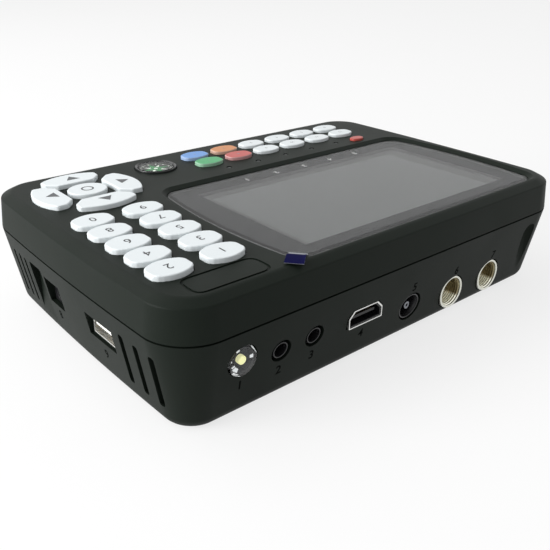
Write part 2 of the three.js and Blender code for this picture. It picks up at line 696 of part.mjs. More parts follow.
// Key outlines: rings of points about a centre, all with as many points for one key
function barrelOutline(length, width, grow, endGrow) {
  const halfLength = length / 2 + endGrow;
  const halfWidth = width / 2 + grow;
  const halfEnd = KEY_END_SHARE * width / 2 + grow;
  const bulge = (share) => halfEnd + (halfWidth - halfEnd) * (1 - share * share);
  const outline = [];
  for (const side of [1, -1]) {
    for (let step = 0; step <= ROUND_STEPS; step++) {
      const share = 1 - 2 * step / ROUND_STEPS;
      const atEnd = Math.abs(share) === 1;
      const reach = atEnd ? share * (1 - KEY_CORNER_LENGTH_SHARE) : share;
      const bent = new THREE.Vector2(side * reach * halfLength, side * bulge(reach));
      const half = halfEnd * (1 - KEY_CORNER_WIDTH_SHARE);
      const end = new THREE.Vector2(side * share * halfLength, side * half);
      if (step === 0) outline.push(end);
      outline.push(bent);
      if (step === ROUND_STEPS) outline.push(end);
    }
  }
  return outline;
}

function ovalOutline(length, width, grow) {
  const outline = [];
  for (let step = 0; step < SMALL_STEPS; step++) {
    const angle = (step / SMALL_STEPS) * Math.PI * 2;
    const x = (length / 2 + grow) * Math.cos(angle);
    const y = (width / 2 + grow) * Math.sin(angle);
    outline.push(new THREE.Vector2(x, y));
  }
  return outline;
}

// One quarter of the arrow ring, pointing along an angle, about its own stem
function arrowOutline(angle, grow) {
  const inner = ARROW_INNER - grow;
  const outer = ARROW_RADIUS + grow;
  const corner = ARROW_CORNER_RADIUS + grow;
  const shift = Math.SQRT2 * (ARROW_HALF_GAP - grow);
  const reach = Math.sqrt(corner * corner - shift * shift / 2) * Math.SQRT1_2;
  const innerCorner = new THREE.Vector2(inner, inner - shift);
  const outerCorner = new THREE.Vector2(reach + shift / 2, reach - shift / 2);
  const right = [innerCorner, outerCorner].map((point) => new THREE.Vector2(point.x, -point.y));
  for (let step = 0; step <= ROUND_STEPS; step++) {
    const turn = ARROW_ARC * (2 * step / ROUND_STEPS - 1);
    right.push(new THREE.Vector2(outer * Math.cos(turn), outer * Math.sin(turn)));
  }
  right.push(outerCorner, innerCorner);
  const origin = new THREE.Vector2(ARROW_STEM_RADIUS, 0);
  return right.map((point) => point.clone().sub(origin).rotateAround(new THREE.Vector2(), angle));
}

function ringAt(outline, x, y, z) {
  return outline.map((point) => new THREE.Vector3(x + point.x, y + point.y, z));
}

function stemRing(outline, x, y, z) {
  return outline.map((point) => {
    const turn = Math.atan2(point.y, point.x);
    return new THREE.Vector3(x + STEM_RADIUS * Math.cos(turn), y + STEM_RADIUS * Math.sin(turn), z);
  });
}

const keys = [];

function planKey(name, x, y, height, material, outlines) {
  keys.push({ name, x, y, height, material, ...outlines });
}

function barrelOutlines(length, width) {
  return {
    cap: barrelOutline(length, width, 0, 0),
    top: barrelOutline(length, width, -KEY_EDGE, -KEY_EDGE),
    hole: barrelOutline(length, width, CLEARANCE, CLEARANCE),
    flange: barrelOutline(length, width, 0, TAB_REACH),
  };
}

for (let row = 0; row < DIGIT_ROWS; row++) {
  for (let column = 0; column < DIGIT_COLUMNS; column++) {
    const digit = (row * DIGIT_COLUMNS + column + 1) % (DIGIT_ROWS * DIGIT_COLUMNS);
    const x = DIGIT_X + column * (DIGIT_LENGTH + DIGIT_COLUMN_GAP);
    const y = DIGIT_Y - row * DIGIT_ROW_PITCH;
    const outlines = barrelOutlines(DIGIT_LENGTH, DIGIT_WIDTH);
    planKey(`digit_key_${digit}`, x, y, DIGIT_HEIGHT, keyWhite, outlines);
  }
}

const functionColors = [[keyBlue, keyOrange], [keyGreen, keyRed]];
for (let row = 0; row < FUNCTION_ROWS; row++) {
  for (let column = 0; column < FUNCTION_COLUMNS; column++) {
    const x = FUNCTION_X - column * FUNCTION_COLUMN_PITCH;
    const y = FUNCTION_Y + row * FUNCTION_ROW_PITCH;
    const material = functionColors[row][column] ?? keyWhite;
    const outlines = barrelOutlines(FUNCTION_LENGTH, FUNCTION_WIDTH);
    const number = row * FUNCTION_COLUMNS + column + 1;
    planKey(`function_key_${number}`, x, y, FUNCTION_HEIGHT, material, outlines);
  }
}

planKey('power_key', POWER_X, POWER_Y, POWER_HEIGHT, keyRed,
  barrelOutlines(POWER_LENGTH, POWER_WIDTH));

planKey('ok_key', ARROW_X, ARROW_Y, ARROW_HEIGHT, keyWhite, {
  cap: ovalOutline(OK_LENGTH, OK_WIDTH, 0),
  top: ovalOutline(OK_LENGTH, OK_WIDTH, -KEY_EDGE),
  hole: ovalOutline(OK_LENGTH, OK_WIDTH, CLEARANCE),
  flange: ovalOutline(OK_LENGTH, OK_WIDTH, FLANGE_REACH),
});

const arrowNames = ['right', 'up', 'left', 'down'];
arrowNames.forEach((name, quarter) => {
  const angle = quarter * Math.PI / 2;
  const x = ARROW_X + ARROW_STEM_RADIUS * Math.cos(angle);
  const y = ARROW_Y + ARROW_STEM_RADIUS * Math.sin(angle);
  planKey(`arrow_key_${name}`, x, y, ARROW_HEIGHT, keyWhite, {
    cap: arrowOutline(angle, 0),
    top: arrowOutline(angle, -KEY_EDGE),
    hole: arrowOutline(angle, CLEARANCE),
    flange: arrowOutline(angle, FLANGE_REACH),
  });
});

function keyBody(key) {
  const { x, y, cap, top, flange } = key;
  const capTop = CASE_HEIGHT + key.height;
  return loft([
    stemRing(cap, x, y, STEM_END),
    stemRing(cap, x, y, FLANGE_UNDER),
    ringAt(flange, x, y, FLANGE_UNDER),
    ringAt(flange, x, y, FLANGE_TOP),
    ringAt(cap, x, y, FLANGE_TOP),
    ringAt(cap, x, y, capTop - KEY_EDGE),
    ringAt(top, x, y, capTop),
  ]);
}

// Front housing
function frontOuter() {
  const low = PART_HEIGHT + PART_GAP / 2;
  return loft([
    caseRing(low, upperInset(low)),
    caseRing(CREST_HEIGHT, CREST_INSET),
    caseRing(CASE_HEIGHT, CREST_INSET + BEVEL_WIDTH),
  ]);
}

function frontCavity() {
  const shoulder = PANEL_UNDER - WALL / 2;
  const cavity = loft([
    caseRing(PART_HEIGHT - OVERRUN, WALL),
    caseRing(shoulder, upperInset(shoulder) + WALL),
    caseRing(PANEL_UNDER, CREST_INSET + WALL + WALL / 2),
  ]);
  const frame = rectangle(
    GLASS_X, GLASS_Y, GLASS_LENGTH + 2 * FRAME_MARGIN, GLASS_WIDTH + 2 * FRAME_MARGIN,
  );
  return cavity.subtract(prism(frame, LEDGE_UNDER, CASE_HEIGHT));
}

function lip() {
  const low = PART_HEIGHT - LIP_DEPTH;
  const high = PART_HEIGHT + LIP_RISE;
  const outer = WALL + CLEARANCE;
  const root = loft([caseRing(PART_HEIGHT + PART_GAP, WALL / 2), caseRing(high, WALL / 2)]);
  const tongue = loft([caseRing(low, outer + lowerInset(low)), caseRing(high, outer + lowerInset(low))]);
  const inner = outer + lowerInset(low) + LIP_WALL;
  const hollow = loft([caseRing(low - OVERRUN, inner), caseRing(high + OVERRUN, inner)]);
  return root.add(tongue).subtract(hollow);
}

// Solid corner that a case screw bites into
function cornerBlock(x, y) {
  const inset = WALL + CLEARANCE + lowerInset(BLOCK_UNDER);
  const inner = loft([caseRing(BLOCK_UNDER, inset), caseRing(BLOCK_TOP, inset)]);
  const sideX = Math.sign(x);
  const sideY = Math.sign(y);
  const outerX = HALF_LENGTH + OVERRUN;
  const outerY = HALF_WIDTH + OVERRUN;
  const nearX = Math.abs(x) - BLOCK_LENGTH / 2;
  const nearY = Math.abs(y) - BLOCK_WIDTH / 2;
  const shape = rectangle(
    sideX * (outerX + nearX) / 2, sideY * (outerY + nearY) / 2, outerX - nearX, outerY - nearY,
  );
  return inner.intersect(prism(shape, BLOCK_UNDER - OVERRUN, BLOCK_TOP + OVERRUN));
}

function keyHole(key) {
  return prism(new THREE.Shape(key.hole.map((p) => new THREE.Vector2(key.x + p.x, key.y + p.y))),
    PANEL_UNDER - OVERRUN, CASE_HEIGHT + OVERRUN);
}

function plateGroove() {
  const outer = roundedRectangle(PLATE_X, PLATE_Y, PLATE_LENGTH, PLATE_WIDTH, PLATE_RADIUS);
  outer.holes.push(roundedRectangle(
    PLATE_X, PLATE_Y, PLATE_LENGTH - 2 * PLATE_GROOVE, PLATE_WIDTH - 2 * PLATE_GROOVE,
    PLATE_RADIUS - PLATE_GROOVE,
  ));
  return prism(outer, CASE_HEIGHT - PLATE_GROOVE_DEPTH, CASE_HEIGHT + OVERRUN, ROUND_STEPS);
}

function lightX(index) {
  return FUNCTION_X - LIGHT_OFFSET - index * FUNCTION_COLUMN_PITCH;
}

function frontHousing() {
  let body = frontOuter().subtract(frontCavity()).add(lip());
  screwPlaces.forEach(([x, y]) => {
    body = body.add(cornerBlock(x, y));
    const tip = BLOCK_TOP - SCREW_TIP_MARGIN + CLEARANCE;
    body = body.subtract(prism(disc(x, y, SCREW_RADIUS + CLEARANCE), BLOCK_UNDER - OVERRUN, tip));
  });
  const seat = loft([
    glassRing(LEDGE_TOP, CLEARANCE),
    glassRing(GLASS_TOP, CLEARANCE),
    glassRing(CASE_HEIGHT, BEZEL_WIDTH),
    glassRing(CASE_HEIGHT + OVERRUN, BEZEL_WIDTH),
  ]);
  body = body.subtract(seat);
  const window = rectangle(
    DISPLAY_X, DISPLAY_Y, DISPLAY_LENGTH + 2 * CLEARANCE, DISPLAY_WIDTH + 2 * CLEARANCE,
  );
  body = body.subtract(prism(window, LEDGE_UNDER - OVERRUN, CASE_HEIGHT));
  keys.forEach((key) => {
    body = body.subtract(keyHole(key));
  });
  const compassHole = disc(COMPASS_X, COMPASS_Y, COMPASS_RADIUS + CLEARANCE);
  body = body.subtract(prism(compassHole, PANEL_UNDER - OVERRUN, CASE_HEIGHT + OVERRUN, SMALL_STEPS));
  for (let index = 0; index < LIGHT_COUNT; index++) {
    const hole = disc(lightX(index), LIGHT_Y, LIGHT_RADIUS + CLEARANCE);
    body = body.subtract(prism(hole, PANEL_UNDER - OVERRUN, CASE_HEIGHT + OVERRUN, ROUND_STEPS));
  }
  return body.subtract(plateGroove());
}

// Screen: glass, its shipping film with a pull tab, and the display behind
function screenGlass() {
  return loft([glassRing(GLASS_UNDER, 0), glassRing(GLASS_TOP, 0)]);
}

// The tab starts on the corner of the film, rises over the bezel and droops a little past its crest
function filmTab(low) {
  const line = [
    [-TAB_OVERLAP, 0], [0, 0], [TAB_KNEE, TAB_KNEE_RISE],
    [TAB_CREST, TAB_CREST_RISE], [TAB_LENGTH, TAB_END_RISE],
  ];
  const back = line.map(([reach, rise]) => [reach, rise + TAB_THICKNESS]).reverse();
  const shape = new THREE.Shape([...line, ...back].map(([reach, rise]) => new THREE.Vector2(reach, rise)));
  const strip = prismAlongY(shape, -TAB_WIDTH / 2, TAB_WIDTH / 2);
  return strip.rotate([0, 0, THREE.MathUtils.radToDeg(TAB_TURN)]).translate([0, 0, low]);
}

function protectiveFilm() {
  const low = GLASS_TOP + FILM_GAP;
  const outline = glassRing(low, -FILM_INSET);
  const sheet = loft([outline, glassRing(low + FILM_THICKNESS, -FILM_INSET)]);
  const corner = outline[CORNER_STEPS / 2];
  return sheet.add(filmTab(low).translate([corner.x, corner.y, 0]));
}

function displayModule() {
  const shape = rectangle(DISPLAY_X, DISPLAY_Y, DISPLAY_LENGTH, DISPLAY_WIDTH);
  return prism(shape, DISPLAY_UNDER, DISPLAY_TOP);
}

// Keypad sheet and key board
const SHEET_LEFT = POWER_X - POWER_LENGTH / 2 - SHEET_MARGIN;
const SHEET_RIGHT = ARROW_X + ARROW_RADIUS;
const SHEET_LOW = ARROW_Y - ARROW_RADIUS;
const SHEET_STEP_X = DIGIT_X - DIGIT_LENGTH / 2 - SHEET_MARGIN;
const SHEET_STEP_Y = POWER_Y + POWER_WIDTH / 2 + CLEARANCE;
const SHEET_HIGH = DIGIT_Y + DIGIT_WIDTH / 2;

function keyMembrane() {
  const shape = new THREE.Shape();
  shape.moveTo(SHEET_LEFT, SHEET_LOW);
  shape.lineTo(SHEET_RIGHT, SHEET_LOW);
  shape.lineTo(SHEET_RIGHT, SHEET_HIGH);
  shape.lineTo(SHEET_STEP_X, SHEET_HIGH);
  shape.lineTo(SHEET_STEP_X, SHEET_STEP_Y);
  shape.lineTo(SHEET_LEFT, SHEET_STEP_Y);
  shape.closePath();
  keys.forEach((key) => shape.holes.push(disc(key.x, key.y, STEM_RADIUS + STEM_CLEARANCE)));
  const compassHole = disc(COMPASS_X, COMPASS_Y, COMPASS_RADIUS + CLEARANCE);
  return prism(shape, SHEET_UNDER, SHEET_TOP, ROUND_STEPS)
    .subtract(prism(compassHole, SHEET_UNDER - OVERRUN, SHEET_TOP + OVERRUN));
}

function keyBoard() {
  const shape = roundedRectangle(
    0, 0, CASE_LENGTH - 2 * KEY_BOARD_MARGIN, CASE_WIDTH - 2 * KEY_BOARD_MARGIN, KEY_BOARD_RADIUS,
  );
  let board = prism(shape, KEY_BOARD_UNDER, KEY_BOARD_TOP, ROUND_STEPS);
  keys.forEach((key) => {
    board = board.add(prism(disc(key.x, key.y, DOME_RADIUS), KEY_BOARD_UNDER, DOME_TOP, ROUND_STEPS));
  });
  return board;
}

function indicatorPipes() {
  const length = (LIGHT_COUNT - 1) * FUNCTION_COLUMN_PITCH + LIGHT_BAR_WIDTH;
  const middle = lightX((LIGHT_COUNT - 1) / 2);
  const barTop = PANEL_UNDER - CLEARANCE;
  const bar = rectangle(middle, LIGHT_Y, length, LIGHT_BAR_WIDTH);
  let body = prism(bar, barTop - LIGHT_BAR_THICKNESS, barTop);
  for (let index = 0; index < LIGHT_COUNT; index++) {
    const pipe = disc(lightX(index), LIGHT_Y, LIGHT_RADIUS);
    body = body.add(prism(pipe, barTop - LIGHT_BAR_THICKNESS / 2, CASE_HEIGHT - LIGHT_RECESS, ROUND_STEPS));
  }
  return body;
}

// Compass: a cup with a pivot, the card that swings on it, and a clear lid
const COMPASS_UNDER = KEY_BOARD_TOP + CLEARANCE;
const COMPASS_TOP = CASE_HEIGHT + COMPASS_RIM;
const LID_TOP = COMPASS_TOP - LID_DROP;
const CARD_TOP = LID_TOP - LID_THICKNESS - CARD_DROP;
const CARD_UNDER = CARD_TOP - CARD_THICKNESS;

function compassCapsule() {
  const inner = COMPASS_RADIUS - COMPASS_WALL;
  const floor = COMPASS_UNDER + COMPASS_FLOOR;
  const tip = CARD_UNDER - CARD_HUB_DEPTH + CARD_SOCKET_DEPTH - CLEARANCE;
  return turned([
    [0, COMPASS_UNDER], [COMPASS_RADIUS, COMPASS_UNDER], [COMPASS_RADIUS, COMPASS_TOP],
    [inner, COMPASS_TOP], [inner, floor], [PIVOT_RADIUS, floor], [PIVOT_RADIUS, tip], [0, tip],
  ], COMPASS_X, COMPASS_Y);
}

function compassCard() {
  const hubUnder = CARD_UNDER - CARD_HUB_DEPTH;
  const socketTop = hubUnder + CARD_SOCKET_DEPTH;
  return turned([
    [0, socketTop], [CARD_SOCKET_RADIUS, socketTop], [CARD_SOCKET_RADIUS, hubUnder],
    [CARD_HUB_RADIUS, hubUnder], [CARD_HUB_RADIUS, CARD_UNDER], [CARD_RADIUS, CARD_UNDER],
    [CARD_RADIUS, CARD_TOP], [0, CARD_TOP],
  ], COMPASS_X, COMPASS_Y);
}

function compassLid() {
  const radius = COMPASS_RADIUS - COMPASS_WALL - CLEARANCE;
  return prism(disc(COMPASS_X, COMPASS_Y, radius), LID_TOP - LID_THICKNESS, LID_TOP);
}

// Boards, battery, tuner and speaker inside the rear housing
function mainBoard() {
  const half = MAIN_BOARD_HALF;
  const shape = new THREE.Shape();
  shape.moveTo(-half, MAIN_BOARD_BACK);
  shape.lineTo(half - BATTERY_ROUND, MAIN_BOARD_BACK);
  shape.lineTo(half - BATTERY_ROUND, MAIN_BOARD_EAR_BACK);
  shape.lineTo(MAIN_BOARD_EAR_X, MAIN_BOARD_EAR_BACK);
  shape.lineTo(MAIN_BOARD_EAR_X, MAIN_BOARD_EAR_FRONT);
  shape.lineTo(half, MAIN_BOARD_EAR_FRONT);
  shape.lineTo(half, TUNER_FRONT);
  shape.lineTo(-half, TUNER_FRONT);
  shape.closePath();
  const board = prism(shape, MAIN_BOARD_Z, MAIN_BOARD_TOP);
  const jackBack = edgeFace(POWER_OUT_Z) - POWER_OUT_DEPTH - CLEARANCE;
  const notch = rectangle(
    POWER_OUT_X, jackBack + POWER_OUT_DEPTH, POWER_OUT_BODY + 2 * CLEARANCE, 2 * POWER_OUT_DEPTH,
  );
  return board.subtract(prism(notch, MAIN_BOARD_Z - OVERRUN, MAIN_BOARD_TOP + OVERRUN));
}

function ribbonCable() {
  const low = MAIN_BOARD_TOP + CLEARANCE;
  const high = KEY_BOARD_UNDER - CLEARANCE;
  const middle = (low + high) / 2;
  const outer = new THREE.Shape();
  outer.moveTo(RIBBON_X, low);
  outer.lineTo(RIBBON_X + RIBBON_THICKNESS, low);
  outer.quadraticCurveTo(
    RIBBON_X + RIBBON_REACH + RIBBON_THICKNESS, middle, RIBBON_X + RIBBON_THICKNESS, high,
  );
  outer.lineTo(RIBBON_X, high);
  outer.quadraticCurveTo(RIBBON_X + RIBBON_REACH, middle, RIBBON_X, low);
  return prismAlongY(outer, RIBBON_Y - RIBBON_WIDTH / 2, RIBBON_Y + RIBBON_WIDTH / 2);
}

function batteryPack() {
  const shape = roundedRectangle(BATTERY_X, BATTERY_Y, BATTERY_LENGTH, BATTERY_WIDTH, BATTERY_ROUND);
  return prism(shape, FLOOR + CLEARANCE, FLOOR + CLEARANCE + BATTERY_HEIGHT, ROUND_STEPS);
}

const SIGNAL_FRONT = edgeFace(SIGNAL_Z + SIGNAL_RADIUS / 2);
const TUNER_FRONT = SIGNAL_FRONT - SIGNAL_LENGTH - CLEARANCE;

function tunerCan() {
  const shape = rectangle(TUNER_X, TUNER_FRONT - TUNER_WIDTH / 2, TUNER_LENGTH, TUNER_WIDTH);
  const top = MAIN_BOARD_Z - CLEARANCE;
  return prism(shape, top - TUNER_HEIGHT, top);
}

function speaker() {
  return prismAlongX(disc(SPEAKER_Y, SPEAKER_Z, SPEAKER_RADIUS), SPEAKER_X, SPEAKER_X + SPEAKER_DEPTH);
}

// Sockets
function signalSocket(x) {
  return turnedAlongY([
    [0, SIGNAL_LENGTH], [SIGNAL_RADIUS, SIGNAL_LENGTH], [SIGNAL_RADIUS, 0],
    [SIGNAL_BORE_RADIUS, 0], [SIGNAL_BORE_RADIUS, SIGNAL_LENGTH - SIGNAL_END],
    [SIGNAL_CONTACT_RADIUS, SIGNAL_LENGTH - SIGNAL_END],
    [SIGNAL_CONTACT_RADIUS, SIGNAL_LENGTH - SIGNAL_END / 2], [0, SIGNAL_LENGTH - SIGNAL_END / 2],
  ], x, SIGNAL_Z, SIGNAL_FRONT);
}

function powerOutJack() {
  const front = edgeFace(POWER_OUT_Z) - CLEARANCE;
  const back = edgeFace(POWER_OUT_Z) - POWER_OUT_DEPTH;
  const block = rectangle(POWER_OUT_X, POWER_OUT_Z, POWER_OUT_BODY, POWER_OUT_BODY);
  const nose = disc(POWER_OUT_X, POWER_OUT_Z, POWER_OUT_RADIUS);
  const bore = disc(POWER_OUT_X, POWER_OUT_Z, POWER_OUT_BORE_RADIUS);
  bore.holes.push(disc(POWER_OUT_X, POWER_OUT_Z, PIN_RADIUS));
  const blockFront = front - POWER_OUT_NOSE;
  return prismAlongY(block, back, blockFront)
    .add(prismAlongY(nose, back, front))
    .subtract(prismAlongY(bore, front - JACK_BORE_DEPTH, front + OVERRUN));
}

function videoSocket() {
  const front = edgeFace(VIDEO_Z + VIDEO_HEIGHT / 2);
  const back = front - VIDEO_DEPTH;
  const outer = videoShape(VIDEO_X, VIDEO_Z, VIDEO_LENGTH, VIDEO_HEIGHT, VIDEO_CHAMFER);
  const inner = videoShape(
    VIDEO_X, VIDEO_Z, VIDEO_LENGTH - 2 * SHELL_WALL, VIDEO_HEIGHT - 2 * SHELL_WALL,
    VIDEO_CHAMFER - SHELL_WALL,
  );
  const tongue = rectangle(VIDEO_X, VIDEO_Z, VIDEO_TONGUE_LENGTH, VIDEO_TONGUE_HEIGHT);
  return prismAlongY(outer, back, front)
    .subtract(prismAlongY(inner, back + SHELL_WALL, front + OVERRUN))
    .add(prismAlongY(tongue, back, front - TONGUE_SETBACK));
}

function audioJack(x) {
  const front = edgeFace(AUDIO_Z) - CLEARANCE;
  const back = front - AUDIO_DEPTH;
  const bodyFront = edgeFace(AUDIO_Z) - AUDIO_NOSE;
  return prismAlongY(rectangle(x, AUDIO_Z, AUDIO_BODY, AUDIO_BODY_HEIGHT), back, bodyFront)
    .add(prismAlongY(disc(x, AUDIO_Z, AUDIO_RADIUS), bodyFront - CLEARANCE, front))
    .subtract(prismAlongY(disc(x, AUDIO_Z, AUDIO_BORE_RADIUS), back + CLEARANCE, front + OVERRUN));
}

const LAMP_FRONT = edgeFace(LAMP_Z);

function lampLens() {
  const profile = [[0, LAMP_LENGTH], [LAMP_RADIUS, LAMP_LENGTH], [LAMP_RADIUS, 0]];
  for (let step = 1; step <= ROUND_STEPS; step++) {
    const share = step / ROUND_STEPS;
    profile.push([LAMP_RADIUS * (1 - share), -LAMP_DOME * (1 - (1 - share) ** 2)]);
  }
  return turnedAlongY(profile, LAMP_X, LAMP_Z, LAMP_FRONT);
}

function lampEmitter() {
  const rim = LAMP_LENGTH + CLEARANCE;
  const back = rim + LAMP_CUP_LENGTH;
  return turnedAlongY([
    [0, back], [LAMP_RADIUS, back], [LAMP_RADIUS, rim], [LAMP_RADIUS - LAMP_CUP_WALL, rim],
    [LAMP_FOOT_RADIUS, back - LAMP_CUP_WALL], [0, back - LAMP_CUP_WALL],
  ], LAMP_X, LAMP_Z, LAMP_FRONT);
}

function powerInJack() {
  const front = sideFace(POWER_IN_Y, POWER_IN_Z) - POWER_IN_SINK;
  const back = front - POWER_IN_DEPTH;
  const bore = disc(POWER_IN_Y, POWER_IN_Z, POWER_OUT_BORE_RADIUS);
  bore.holes.push(disc(POWER_IN_Y, POWER_IN_Z, PIN_RADIUS));
  const block = rectangle(POWER_IN_Y, POWER_IN_Z, POWER_IN_LENGTH, POWER_IN_HEIGHT);
  return prismAlongX(block, back, front)
    .subtract(prismAlongX(bore, front - JACK_BORE_DEPTH, front + OVERRUN));
}

function dataSocket() {
  const front = sideFace(DATA_Y, DATA_Z) - DATA_RECESS_DEPTH + CLEARANCE;
  const back = front - DATA_DEPTH;
  const outer = rectangle(DATA_Y, DATA_Z, DATA_LENGTH, DATA_HEIGHT);
  const inner = rectangle(DATA_Y, DATA_Z, DATA_LENGTH - 2 * SHELL_WALL, DATA_HEIGHT - 2 * SHELL_WALL);
  const tongueZ = DATA_Z + DATA_HEIGHT / 4 - SHELL_WALL;
  const tongue = rectangle(DATA_Y, tongueZ, DATA_TONGUE_LENGTH, DATA_TONGUE_HEIGHT);
  return prismAlongX(outer, back, front)
    .subtract(prismAlongX(inner, back + SHELL_WALL, front + OVERRUN))
    .add(prismAlongX(tongue, back, front - TONGUE_SETBACK));
}

function caseScrew(x, y) {
  const headUnder = SCREW_SINK - SCREW_HEAD_HEIGHT;
  const tip = BLOCK_TOP - SCREW_TIP_MARGIN;
  const shoulder = SCREW_SINK - CLEARANCE;
  return turned([
    [0, headUnder - CLEARANCE], [SCREW_HEAD_RADIUS, headUnder - CLEARANCE], [SCREW_HEAD_RADIUS, shoulder],
    [SCREW_RADIUS, shoulder], [SCREW_RADIUS, tip], [0, tip],
  ], x, y, SMALL_STEPS);
}

// Assembly
addPart('rear_housing', rearHousing(), blackPlastic);
addPart('front_housing', frontHousing(), blackPlastic);
addPart('screen_glass', screenGlass(), glassGrey);
addPart('protective_film', protectiveFilm(), filmClear);
addPart('display_module', displayModule(), displayGrey);
addPart('key_membrane', keyMembrane(), rubberGrey);
addPart('key_board', keyBoard(), boardGreen);
keys.forEach((key) => addPart(key.name, keyBody(key), key.material));
addPart('indicator_pipes', indicatorPipes(), clearPlastic);
addPart('compass_capsule', compassCapsule(), blackPlastic);
addPart('compass_card', compassCard(), cardGreen);
addPart('compass_lid', compassLid(), clearPlastic);
addPart('main_board', mainBoard(), boardGreen);
addPart('ribbon_cable', ribbonCable(), cableGrey);
addPart('battery_pack', batteryPack(), cellBlue);
addPart('tuner_can', tunerCan(), tin);
addPart('speaker', speaker(), jackBlack);
SIGNAL_X.forEach((x, index) => addPart(`signal_socket_${index + 1}`, signalSocket(x), nickel));
addPart('power_out_jack', powerOutJack(), jackBlack);
addPart('video_socket', videoSocket(), steel);
AUDIO_X.forEach((x, index) => addPart(`audio_jack_${index + 1}`, audioJack(x), jackBlack));
addPart('lamp_lens', lampLens(), clearPlastic);
addPart('lamp_emitter', lampEmitter(), lampWhite);
addPart('power_in_jack', powerInJack(), jackBlack);
addPart('data_socket', dataSocket(), steel);
screwPlaces.forEach(([x, y], index) => addPart(`case_screw_${index + 1}`, caseScrew(x, y), steel));

export default group;
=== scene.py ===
import math

import bmesh
import bpy
from mathutils import Matrix, Vector


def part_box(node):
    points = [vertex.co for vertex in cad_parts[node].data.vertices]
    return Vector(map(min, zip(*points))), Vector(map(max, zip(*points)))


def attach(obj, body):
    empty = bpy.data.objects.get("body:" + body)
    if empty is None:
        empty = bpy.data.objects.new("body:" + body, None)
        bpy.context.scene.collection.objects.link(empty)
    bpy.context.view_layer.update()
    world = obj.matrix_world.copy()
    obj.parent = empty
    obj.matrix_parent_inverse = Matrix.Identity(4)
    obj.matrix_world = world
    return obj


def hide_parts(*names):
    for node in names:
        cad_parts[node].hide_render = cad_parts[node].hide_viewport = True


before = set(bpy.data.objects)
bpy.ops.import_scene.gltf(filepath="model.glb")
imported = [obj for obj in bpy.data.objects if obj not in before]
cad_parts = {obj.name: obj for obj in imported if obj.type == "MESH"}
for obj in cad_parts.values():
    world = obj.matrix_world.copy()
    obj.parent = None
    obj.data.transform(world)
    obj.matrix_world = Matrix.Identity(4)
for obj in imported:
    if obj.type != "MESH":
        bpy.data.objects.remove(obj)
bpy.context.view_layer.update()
scene = bpy.context.scene


# Camera
# The meter lies on its back and is seen from over its digit-key corner, from the
# side of its sockets. The lens and the place are real sizes, in millimetres.
mm = 0.001
camera_target = Vector((24.21, 22.31, 19.16)) * mm
camera_distance = 240.2 * mm
camera_azimuth = math.radians(139.39)
camera_elevation = math.radians(25.95)
camera_roll = math.radians(0.87)

camera_data = bpy.data.cameras.new("camera")
camera_data.sensor_width = 36
camera_data.lens = 45.54
camera_data.clip_start = 1 * mm
camera_data.clip_end = 20
camera = bpy.data.objects.new("camera", camera_data)
scene.collection.objects.link(camera)
scene.camera = camera

back = Vector((
    math.sin(camera_azimuth) * math.cos(camera_elevation),
    -math.cos(camera_azimuth) * math.cos(camera_elevation),
    math.sin(camera_elevation),
))
level_right = Vector((0, 0, 1)).cross(back).normalized()
level_up = back.cross(level_right)
right = level_right * math.cos(camera_roll) + level_up * math.sin(camera_roll)
up = level_up * math.cos(camera_roll) - level_right * math.sin(camera_roll)
turn = Matrix((right, up, back)).transposed().to_4x4()
camera.matrix_world = Matrix.Translation(camera_target + back * camera_distance) @ turn


# Table and light
# A plain white table that fades into a white room. A wide soft box hangs beyond the
# meter's key row, a second stands at its keypad side, and the room fills the rest.
scene.view_settings.view_transform = "Standard"


def see_white(material_or_world, shader_socket, surface_socket, white, share):
    """Mixes plain white in for camera, glossy and transmitted rays."""
    tree = material_or_world.node_tree
    path = tree.nodes.new("ShaderNodeLightPath")
    seen = tree.nodes.new("ShaderNodeMath")
    seen.operation = "MAXIMUM"
    tree.links.new(path.outputs["Is Camera Ray"], seen.inputs[0])
    tree.links.new(path.outputs["Is Transmission Ray"], seen.inputs[1])
    shone = tree.nodes.new("ShaderNodeMath")
    shone.operation = "MAXIMUM"
    tree.links.new(seen.outputs[0], shone.inputs[0])
    tree.links.new(path.outputs["Is Glossy Ray"], shone.inputs[1])
    part = tree.nodes.new("ShaderNodeMath")
    part.operation = "MULTIPLY"
    part.inputs[1].default_value = share
    tree.links.new(shone.outputs[0], part.inputs[0])
    mix = tree.nodes.new("ShaderNodeMixShader")
    tree.links.new(part.outputs[0], mix.inputs[0])
    tree.links.new(shader_socket, mix.inputs[1])
    tree.links.new(white, mix.inputs[2])
    tree.links.new(mix.outputs[0], surface_socket)


room = bpy.data.worlds.new("room")
scene.world = room
room.use_nodes = True
room_fill = room.node_tree.nodes["Background"]
room_fill.inputs["Color"].default_value = (1, 1, 1, 1)
room_fill.inputs["Strength"].default_value = 0.6
room_white = room.node_tree.nodes.new("ShaderNodeBackground")
room_white.inputs["Color"].default_value = (1, 1, 1, 1)
room_out = room.node_tree.nodes["World Output"]
see_white(room, room_fill.outputs[0], room_out.inputs["Surface"], room_white.outputs[0], 1)

